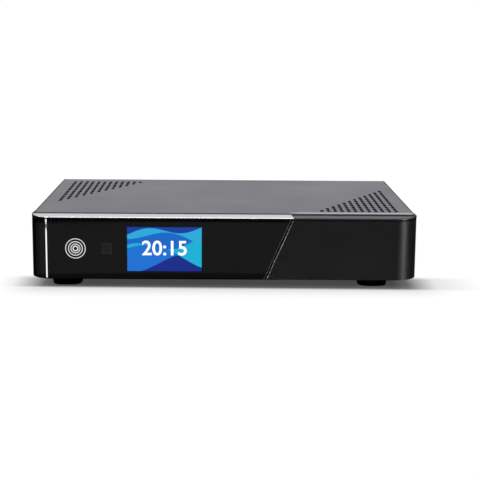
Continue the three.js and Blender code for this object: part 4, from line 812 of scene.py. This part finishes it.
def moulding():
    """The front moulding: a groove in deep shade, a painted highlight along the seam, a smoother ledge.

    The points of the solid's rounded lower edge move out along the front line and down, which gives a crisp
    edge. On the matt side the lip's underside and the groove's floor are lowered a little.
    """
    groove_low = WINDOW_HIGH - 0.3

    def crisp(points):
        x, y, z = points.T.copy()
        out = np.stack([x - np.sign(x) * (HALF_WIDTH - CORNER), y - (FRONT + CORNER)], axis=1)
        out[np.abs(x) < HALF_WIDTH - CORNER, 0] = 0.0
        out[y > FRONT + CORNER, 1] = 0.0
        reach = np.maximum(np.linalg.norm(out, axis=1), 1e-6)
        inset = CORNER - reach
        turn = np.radians([90.0, 60.0, 30.0, 0.0])
        rise, back = BODY_BOTTOM + LOWER_ROUND * (1 - np.sin(turn)), LOWER_ROUND * (1 - np.cos(turn))
        between = (z > rise[0] + 0.02) & (z < rise[3] - 0.02)
        on_edge = between & (np.abs(inset - np.interp(z, rise, back)) < 0.04)
        points[:, :2] += out / reach[:, None] * np.where(on_edge, inset, 0.0)[:, None]
        lowered = on_edge & (np.abs(z - WINDOW_LOW) > 0.05)
        points[:, 2] = np.where(lowered, BODY_BOTTOM, z)
        beside_seam = lowered & (np.abs(x - seam(z)) < 2.0)
        points[:, 0] -= np.where(beside_seam, (z - BODY_BOTTOM) * SEAM_LEAN, 0.0)
        on_groove = (np.abs(z - LIP_LOW) < 0.03) | (z > groove_low - 0.05) & (z < WINDOW_HIGH + 0.05)
        points[:, 2] -= np.where(on_groove & (x > MATT_START), LIP_DROP, 0.0)
        return points

    def groove(x, y, z, way):
        drop = np.where(x > MATT_START, LIP_DROP, 0.0)
        return (z > groove_low - 0.01 - drop) & (z < LIP_LOW + 0.05 - drop)

    def ledge(x, y, z, way):
        return (z > LIP_LOW - LIP_DROP + 0.1) & (x > MATT_START - 1.0) & ~groove(x, y, z, way)

    def seam_edge(x, y, z, way):
        return (np.abs(x - seam(z)) < 1.2) & (way[0] < -0.3) & (way[1] < -0.3)

    softened("front_bezel", 0.25, angle=33.0, change=crisp, level=groove_low,
             paint=((SMOOTH_LEDGE, ledge), (SHADE, groove), (SEAM_HIGHLIGHT, seam_edge)))


def slot_cutters():
    """Two triangular fields of round-ended slots as upright prisms.

    Column c of the right field holds 12 - c slots from the front, 10 mm apart, and the left field is the same
    from the back. A prism's outline is two half circles joined by straight sides.
    """
    columns, steps = np.array([(c, s) for c in range(SLOT_COLUMNS) for s in range(SLOT_COLUMNS - c)]).T
    x = PLATE_HALF - SLOT_START[0] - columns * SLOT_PITCH[0]
    right = np.stack([x, PLATE_FRONT + SLOT_START[1] + steps * SLOT_PITCH[1]], axis=1)
    left = np.stack([-x, PLATE_BACK - SLOT_START[2] - steps * SLOT_PITCH[1]], axis=1)
    turn = np.linspace(0, np.pi, 9)
    half = np.stack([SLOT_HALF[0] * np.cos(turn), SLOT_HALF[1] + SLOT_HALF[0] * np.sin(turn)], axis=1)
    outline = np.vstack([half, -half])
    faces = tube_faces(2, len(outline))
    return [([[*spot, z] for z in (55.0, 62.0) for spot in outline + place], faces)
            for place in (*right, *left)]


def box_corners(low, high):
    """The eight corners and six faces of a block between two corners, for a cutter."""
    corners = [[x, y, z] for x in (low[0], high[0]) for y in (low[1], high[1]) for z in (low[2], high[2])]
    return corners, [[0, 1, 3, 2], [4, 6, 7, 5], [0, 4, 5, 1], [2, 3, 7, 6], [0, 2, 6, 4], [1, 5, 7, 3]]


def solid(name, parts):
    """An object of closed shapes that face out, for the cutting."""
    mesh = plain_mesh(name, parts)
    with opened(mesh) as work:
        bmesh.ops.recalc_face_normals(work, faces=work.faces)
    return added(name, mesh)


def steel_cover():
    """One folded sheet: a section of two quarter-circle bends carried from front to back, then cut.

    The cuts are the two slot fields, the step behind the front moulding, the card slots on the left and the
    four screw holes.
    """
    inner = np.vstack([quarter((PLATE_HALF - PLATE_BEND, PLATE_TOP - SHEET),
                               (PLATE_HALF - SHEET, PLATE_TOP - PLATE_BEND), 9, 0),
                       [[PLATE_HALF - SHEET, BODY_BOTTOM]]])
    stations = []
    rim = quarter((PLATE_FRONT, RIM_INSET), (PLATE_FRONT + RIM_INSET, 0.0), 4, 1)
    for y, inset in (*rim, (PLATE_BACK, 0.0)):
        half, top, bend = PLATE_HALF - inset, PLATE_TOP - inset, PLATE_BEND - inset
        outer = np.vstack([[[half, BODY_BOTTOM]], quarter((half, top - bend), (half - bend, top), 9, 1)])
        section = np.vstack([outer, outer[::-1] * FLIP, (inner * FLIP)[::-1], inner])
        stations.append(np.insert(section, 1, y, axis=1))
    holder = solid("cover_holder", [(stations, tube_faces(len(stations), len(section)))])
    holes = [turned([[0, -4], [1.85, -4], [1.85, 4], [0, 4]], place, "x", 24) for place in SCREW_PLACES]
    cutter = solid("cover_cuts", [*slot_cutters(), *(box_corners(*corners) for corners in SIDE_CUTS), *holes])
    cut = holder.modifiers.new("cut", "BOOLEAN")
    cut.operation = "DIFFERENCE"
    cut.solver = "EXACT"
    cut.object = cutter
    mesh = frozen(holder)
    bpy.data.objects.remove(cutter)
    strip_end = SEAM_TOP - STRIP_LEAN
    with opened(mesh) as work:
        for x in (strip_end, -FOLD_START, FOLD_START):
            cut_along(work, (x, 0, 0), (1, 0, 0), 1e-7)
    looks = [LOOKS["cover_steel"], SLOT_WALL_SHADE, SHADE, FOLD_SHADE]
    made = finished("folded_cover", mesh, looks, "receiver", ("top_cover",), 30.0)

    # The slot walls take the near-black painted shade.
    def slot_wall(x, y, z, way):
        inside = (np.abs(x) < PLATE_HALF - 2) & (y > PLATE_FRONT + 1) & (y < PLATE_BACK - 1)
        return inside & (np.abs(way[2]) < 0.2) & (z > PLATE_TOP - SHEET)

    def front_rim(x, y, z, way):
        beside_strip = (x < strip_end) & (z > PLATE_TOP - PLATE_BEND)
        return beside_strip & (y < PLATE_FRONT + RIM_INSET + 0.01) & (way[1] < -0.3)

    # The folds and the top's side borders take the darker, duller painted shade.
    def fold(x, y, z, way):
        return (np.abs(x) > FOLD_START) & (way[2] > 0.25)

    painted(made, [slot_wall, front_rim, fold])
    broken_edges(made, 0.12)


# Rear pieces

def aerial_socket(node):
    """A turned barrel with a cut thread, and the white insulator in its mouth.

    The thread's depth at height h and turn t is a rounded wave of h / pitch - t, faded out at both ends.
    """
    centre, low, high = middle(node)
    pitch, deep, start, stop, radius = 0.79, 0.34, 98.9, high[1] - 0.9, 4.75
    height = np.arange(start, stop, pitch / 8)

    def thread(profile, angle):
        h = profile[:, 1:2]
        wave = 0.5 - 0.5 * np.cos(2 * np.pi * (h / pitch - angle / (2 * np.pi)))
        fade = np.clip((h - start) / 0.8, 0, 1) * np.clip((stop - h) / 0.5, 0, 1)
        return 1 - deep / radius * wave ** 0.8 * fade * (profile[:, :1] > radius - 0.01)

    mouth = [[radius, 0.6], [radius - 0.15, 0.3], [radius - 0.5, 0], [radius - 0.95, 0], [3.2, 0.55],
             [3.15, 0.8], [3.15, 8.6], [0, 8.6]]
    profile = np.vstack([[[0, low[1]], [radius, low[1]], [radius, start - 0.2]],
                         np.stack([np.full(len(height), radius), height], axis=1),
                         [[across, high[1] - down] for across, down in mouth]])
    inside = [[0, 8.2], [3.1, 8.2], [3.1, 0.85], [2.95, 0.7], [1.1, 0.7], [0.75, 1.05], [0.75, 6.7], [0, 6.7]]
    axis = (centre[0], 0, centre[2])
    points, faces = turned(profile, axis, "y", 56, thread)
    piece("threaded_" + node, points, faces, "plated_metal", 42.0, (node,))
    points, faces = turned([[across, high[1] - down] for across, down in inside], axis, "y", 40)
    piece("insulator_" + node, points, faces, "plated_metal", 40.0, looks=[INSULATOR])


def hex_nut(node):
    """A six-sided nut whose corners are cut back by a 30 degree cone on both faces.

    The side's distance at turn t is flat / cos(t mod 60 - 30 degrees); a row drops by the excess over the
    cone's circle times the tangent of 30 degrees.
    """
    centre, low, high = middle(node)
    flat, circle, bore = 6.6 * math.cos(math.pi / 6), 5.62, 5.0
    angle = np.linspace(0, 2 * np.pi, 72, endpoint=False)
    side = flat / np.cos(np.mod(angle, np.pi / 3) - np.pi / 6)
    cone = (side - circle) * math.tan(math.pi / 6)
    rows = [(bore + 0.25, low[1]), (circle, low[1]), (side, low[1] + cone), (side, high[1] - cone),
            (circle, high[1]), (bore + 0.25, high[1]), (bore, high[1] - 0.25), (bore, low[1] + 0.25)]
    points = [np.stack([centre[0] + r * np.cos(angle), h + 0 * angle, centre[2] + r * np.sin(angle)], axis=1)
              for r, h in rows]
    faces = grid_faces(len(rows), len(angle), around=True, along=True)
    piece("chamfered_" + node, points, faces, "plated_metal", 30.0, (node,))


def cross_head(node):
    """A pan head with a cross recess and its shank: rings of a dome, pressed in where both cross arms reach.

    At (u, v) across the head, the recess is deep where the smaller of |u|, |v| is under half an arm's width
    and the larger one is under the arm's length.
    """
    centre, _, _ = middle(node)
    side = 1 if centre[0] > 0 else -1
    arm_half, arm_length, dome = 0.52, 1.7, 2.8
    ring = np.append(np.linspace(0.0, dome - 0.02, 34), [dome, dome, 1.5, 1.5, 1.2])[:, None]
    angle = np.linspace(0, 2 * np.pi, 96, endpoint=False)
    u, v = ring * np.cos(angle), ring * np.sin(angle)
    near, far = np.minimum(np.abs(u), np.abs(v)), np.maximum(np.abs(u), np.abs(v))
    recess = np.clip((arm_half - near) / 0.12, 0, 1) * np.clip((arm_length - far) / 0.25, 0, 1)
    out = 1.58 - 0.42 * (ring / dome) ** 3 - 0.95 * recess
    out[-5:] = np.array([1.05, 0.08, 0.05, -3.4, -4.9])[:, None]
    points = np.stack([side * (PLATE_HALF + out), centre[1] + u, centre[2] + v], axis=-1)
    faces = tube_faces(len(ring), len(angle))
    del faces[-2]
    piece("pan_head_" + node, points, faces, "screws", 38.0, (node,))


def contact_row(name, x0, pitch, count, path, width, thickness):
    """Equal flat gold contacts side by side: a rectangular section carried along a path of (y, z) places.

    Each place on the path gives two points above and two below it, half a width to each side.
    """
    path = np.asarray(path, float)
    way = np.gradient(path, axis=0)
    way /= np.linalg.norm(way, axis=1, keepdims=True)
    square = np.stack([-way[:, 1], way[:, 0]], axis=1)
    rise = np.array([0.5, 0.5, -0.5, -0.5]) * thickness
    yz = path[:, None] + square[:, None] * rise[:, None]
    across = np.broadcast_to(x0 + np.array([-0.5, 0.5, 0.5, -0.5]) * width, yz.shape[:2])
    parts = []
    for number in range(count):
        x = across + (number - (count - 1) / 2) * pitch
        parts.append((np.concatenate([x[..., None], yz], axis=-1), tube_faces(len(path), 4)))
    finished(name, plain_mesh(name, parts), [GOLD], "receiver", (), 30.0)


def back_wall(depth):
    """A test for faces on a socket's back wall, which look to the rear."""
    return lambda x, y, z, way: (np.abs(y - depth) < 0.05) & (way[1] > 0.9)


def picture_socket(node):
    """A picture socket: tinned shell, black tongue and back wall, and contacts on the tongue's two faces."""
    (x, _, z), _, high = middle(node)
    y = high[1]
    tongue = within((x - 5.75, y - 9.2, z - 0.6), (x + 5.75, y - 0.9, z + 0.6))
    softened(node, 0.15, paint=((INSERT, back_wall(y - 9.0)), (INSERT, tongue)))
    for tag, level in (("top", z + 0.53), ("low", z - 0.53)):
        contact_row(f"contacts_{tag}_{node}", x, 1.0, 10, [(y - 8.5, level), (y - 1.9, level)], 0.45, 0.12)


def data_socket(node):
    """A stack of two data sockets: folded shell, dark tongues with four contacts under each."""
    (x, _, _), low, high = middle(node)
    y = high[1]
    paint = [(INSERT, back_wall(y - 12.0))]
    for floor in (0, 1):
        mouth_top = low[2] + (high[2] - low[2]) / 2 * (floor + 0.5) + 2.6
        level = mouth_top - 2.55
        paint.append((INSERT, within((x - 5.6, y - 12.2, level), (x + 5.6, y - 1.9, level + 1.9))))
        path = [(y - 11.5, level), (y - 3.0, level)]
        contact_row(f"contacts_{floor + 1}_{node}", x, 2.4, 4, path, 1.1, 0.14)
    softened(node, 0.18, paint=paint)


def network_socket(node):
    """A shielded network socket: black mouth and latch notch, with eight sprung wires from the roof."""
    (x, _, _), _, high = middle(node)
    y, roof = high[1], high[2] - 1.6
    inside = within((x - 5.97, y - 13.1, roof - 9.9), (x + 5.97, y - 0.05, roof + 0.05))
    softened(node, 0.2, paint=((INSERT, inside),))
    path = [(y - back, roof - down) for back, down in ((2.2, 0.25), (3.0, 0.5), (9.5, 3.6), (12.8, 4.0))]
    contact_row("wires_" + node, x, 1.02, 8, path, 0.42, 0.3)


def power_inlet(node):
    """The low-voltage inlet: black housing with a plated pin in its bore."""
    centre, _, high = middle(node)

    def pin(x, y, z, way):
        return (np.hypot(x - centre[0], z - centre[2]) < 1.12) & (y > high[1] - 9.4)

    softened(node, 0.15, paint=((LOOKS["plated_metal"], pin),))


def rocker_marks():
    """The rocker's generic marks: I and O, each on the face that it names, read from behind."""
    centre, _, _ = middle("power_rocker")
    faces = frame["nodes"]["power_rocker"].data.polygons
    spots, ways, areas = read(faces, "center") / MM, read(faces, "normal"), read(faces, "area", 1)
    pin_height = 28.5
    for name, mark, side in (("rocker_mark_on", "I", 1), ("rocker_mark_off", "O", -1)):
        chosen = (ways[:, 1] > 0.75) & ((spots[:, 2] - pin_height) * side > 1.0)
        share = areas[chosen] / areas[chosen].sum()
        spot, way = (spots[chosen] * share).sum(axis=0), (ways[chosen] * share).sum(axis=0)
        spot[0] = centre[0]
        where = facing(spot + way * 0.02, (-1, 0, 0), way)
        lettering(name, mark, 4.6, where, MARK_WHITE, "rocker", 0.05, 0.02)


record = frame["record"]
slots = {row["node"]: row["material_slot"] for row in record["subparts"]}
bodies = {node: body for body, nodes in record["behaviour"]["bodies"].items() for node in nodes}
for node, shape in frame["nodes"].items():
    shape.data.materials.clear()
    shape.data.materials.append(LOOKS[slots[node]])

gloss_window()
silver_strip()
picture_face()
clock = facing((PICTURE_MIDDLE[0], FRONT + 0.035, PICTURE_MIDDLE[1]), (1, 0, 0), (0, -1, 0))
lettering("clock_digits", "20:15", 16.5, clock, DIGITS, "receiver", 0.22)
for corner in ("foot_front_left", "foot_front_right", "foot_rear_left", "foot_rear_right"):
    foot(corner)
moulding()
steel_cover()
for n in ("1", "2"):
    aerial_socket("aerial_socket_" + n)
    hex_nut("aerial_nut_" + n)
    cross_head("cover_screw_left_" + n)
    cross_head("cover_screw_right_" + n)
picture_socket("picture_socket_out")
picture_socket("picture_socket_in")
data_socket("data_socket")
network_socket("network_socket")
power_inlet("power_inlet")
softened("power_rocker", 0.4, segments=3)
rocker_marks()
for node, width in (("rear_panel", 0.1), ("chassis_base", 0.1), ("optical_socket", 0.15),
                    ("optical_shutter", 0.12), ("switch_frame", 0.35), ("module_cage", 0.12),
                    ("card_reader", 0.12), ("disk_caddy", 0.3), ("disk_drive", 0.4),
                    ("caddy_thumb_screw", 0.12)):
    softened(node, width)


# The studio

def studio_floor():
    """A pale floor that glows white for the camera; a painted shadow dims the glow under the body and just
    beside it.

    On the floor's own x and y, the painted shadow is deepest behind the front line within the body's width.
    It fades sideways and forwards over a few centimetres, first fast and then slowly.
    """
    mesh = bpy.data.meshes.new("floor")
    mesh.from_pydata([(-6, -6, 0), (6, -6, 0), (6, 6, 0), (-6, 6, 0)], [], [(0, 1, 2, 3)])
    made = added("floor", mesh)
    made.visible_glossy = False
    look = bpy.data.materials.new("pale_floor")
    look.use_nodes = True
    mesh.materials.append(look)
    tree = look.node_tree
    tree.nodes.clear()
    x, y, _ = spot_in_mm(tree)
    body_left, body_right = -146, 150
    left, right = -x + body_left, x - body_right
    beside = most(left, right)
    near = ramp(left, 26, 0, 0.0, 0.5).maths("MINIMUM", ramp(right, 22, 0, 0.0, 0.5))
    far = ramp(left, 40, 0, 0.0, 0.36).maths("MINIMUM", ramp(right, 62, 0, 0.0, 0.36))
    across = near + far + ramp(beside, 0, -12, 0.0, 0.078)
    late = most(ramp(y, -60, -72), ramp(beside, 4, -2))
    front = ramp(x * 0.015 + y, -112.8, -103.0) * ramp(y, -104, -92, 0.94, 1.0)
    under = across * late * front * ramp(y, 102, 94)
    ahead = ramp(y, -152, -112)
    ahead = ahead * ahead * ramp(beside, 36, 2, 0.0, 0.24) * ramp(y, -90, -100)
    seen = Value(new_node(tree, "LightPath"), "Is Camera Ray")
    # The painted shadow takes light out of the floor's glow.
    glow = new_node(tree, "Emission", Strength=most(under, ahead).rest() * seen)
    matt = new_node(tree, "BsdfDiffuse", Color=mix(seen, grey(0.18), grey(0.02)))
    both = new_node(tree, "AddShader")
    for socket, shader in zip(both.inputs, (matt, glow)):
        put(socket, Value(shader))
    new_node(tree, "OutputMaterial", Surface=Value(both))


def studio_world():
    """White for the camera; softer for the light; for reflections a bright upper half over a dim lower half,
    with a tall narrow panel on the left and a broad one on the right. Turns are in degrees from the front."""
    world = bpy.data.worlds.new("studio")
    bpy.context.scene.world = world
    world.use_nodes = True
    tree = world.node_tree
    tree.nodes.clear()
    x, y, z = split(Value(new_node(tree, "TexCoord"), "Generated"))
    soft_level = 0.56
    left_at, left_power = -38, 24.0
    right_at, right_power = 49, 11.5
    dark_line = -0.1734
    azimuth = x.maths("ARCTAN2", -y) * math.degrees(1)
    turn = abs(azimuth)
    upper = ramp(z, -0.06, 0.10, smooth=True) * ramp(z, 0.0, 0.4, 0.82, 1.12)
    lower = ramp(turn, 68, 90, 0.24, 0.11) * ramp(turn, 95, 115, 1.0, 0.05)
    lower = lower * ramp(z, -0.2135, -0.2120, 0.4, 1.0) * ramp(z, -0.1717, -0.1697, 1.0, 0.1)
    behind = ramp(turn, 140, 165, 0.0, 0.4) * ramp(z, -0.6, -0.4)
    panel_height = ramp(z, 0.5, 0.3) * ramp(z, -0.45, -0.35)
    left = ramp(abs(azimuth - left_at), 4.3, 3.5) * panel_height * ramp(abs(z - dark_line), 0.0017, 0.0023)
    right = ramp(abs(azimuth - right_at), 11, 6) * panel_height
    shine = most(upper, lower, behind) + (left * left_power + right * right_power)
    path = new_node(tree, "LightPath")
    glossy = Value(path, "Is Glossy Ray")
    seen = most(Value(path, "Is Camera Ray"), Value(path, "Is Transmission Ray"))
    strength = glossy * shine + glossy.rest() * soft_level
    back = new_node(tree, "Background", Color=(1, 1, 1), Strength=seen + seen.rest() * strength)
    new_node(tree, "OutputWorld", Surface=Value(back))


def overhead_light():
    """A rectangular area lamp above and a little in front, turned to the body."""
    place, aim = Vector((0.0, -0.38, 1.5)), Vector((0.0, -0.05, 0.0))
    lamp = bpy.data.lights.new("overhead", "AREA")
    lamp.shape = "RECTANGLE"
    lamp.size, lamp.size_y = 0.8, 0.6
    lamp.energy = 9.0
    made = added("overhead", lamp)
    made.location = place
    made.rotation_euler = (aim - place).to_track_quat("-Z", "Y").to_euler()


def photo_camera():
    """The camera that was fitted to the photograph: turned, looking down and slightly rolled."""
    yaw, pitch, roll = (math.radians(a) for a in (-0.831, 10.684, 0.475))
    turn = Matrix.Rotation(yaw, 4, "Z") @ Matrix.Rotation(math.pi / 2 - pitch, 4, "X")
    data = bpy.data.cameras.new("photo_camera")
    data.sensor_width = 36.0
    data.lens = 92.49
    data.clip_end = 50.0
    made = added("photo_camera", data)
    made.matrix_world = Matrix.Translation((-0.0017, -1.0721, 0.2216)) @ turn @ Matrix.Rotation(roll, 4, "Z")
    bpy.context.scene.camera = made


studio_floor()
studio_world()
overhead_light()
photo_camera()
bpy.context.scene.view_settings.view_transform = "Standard"
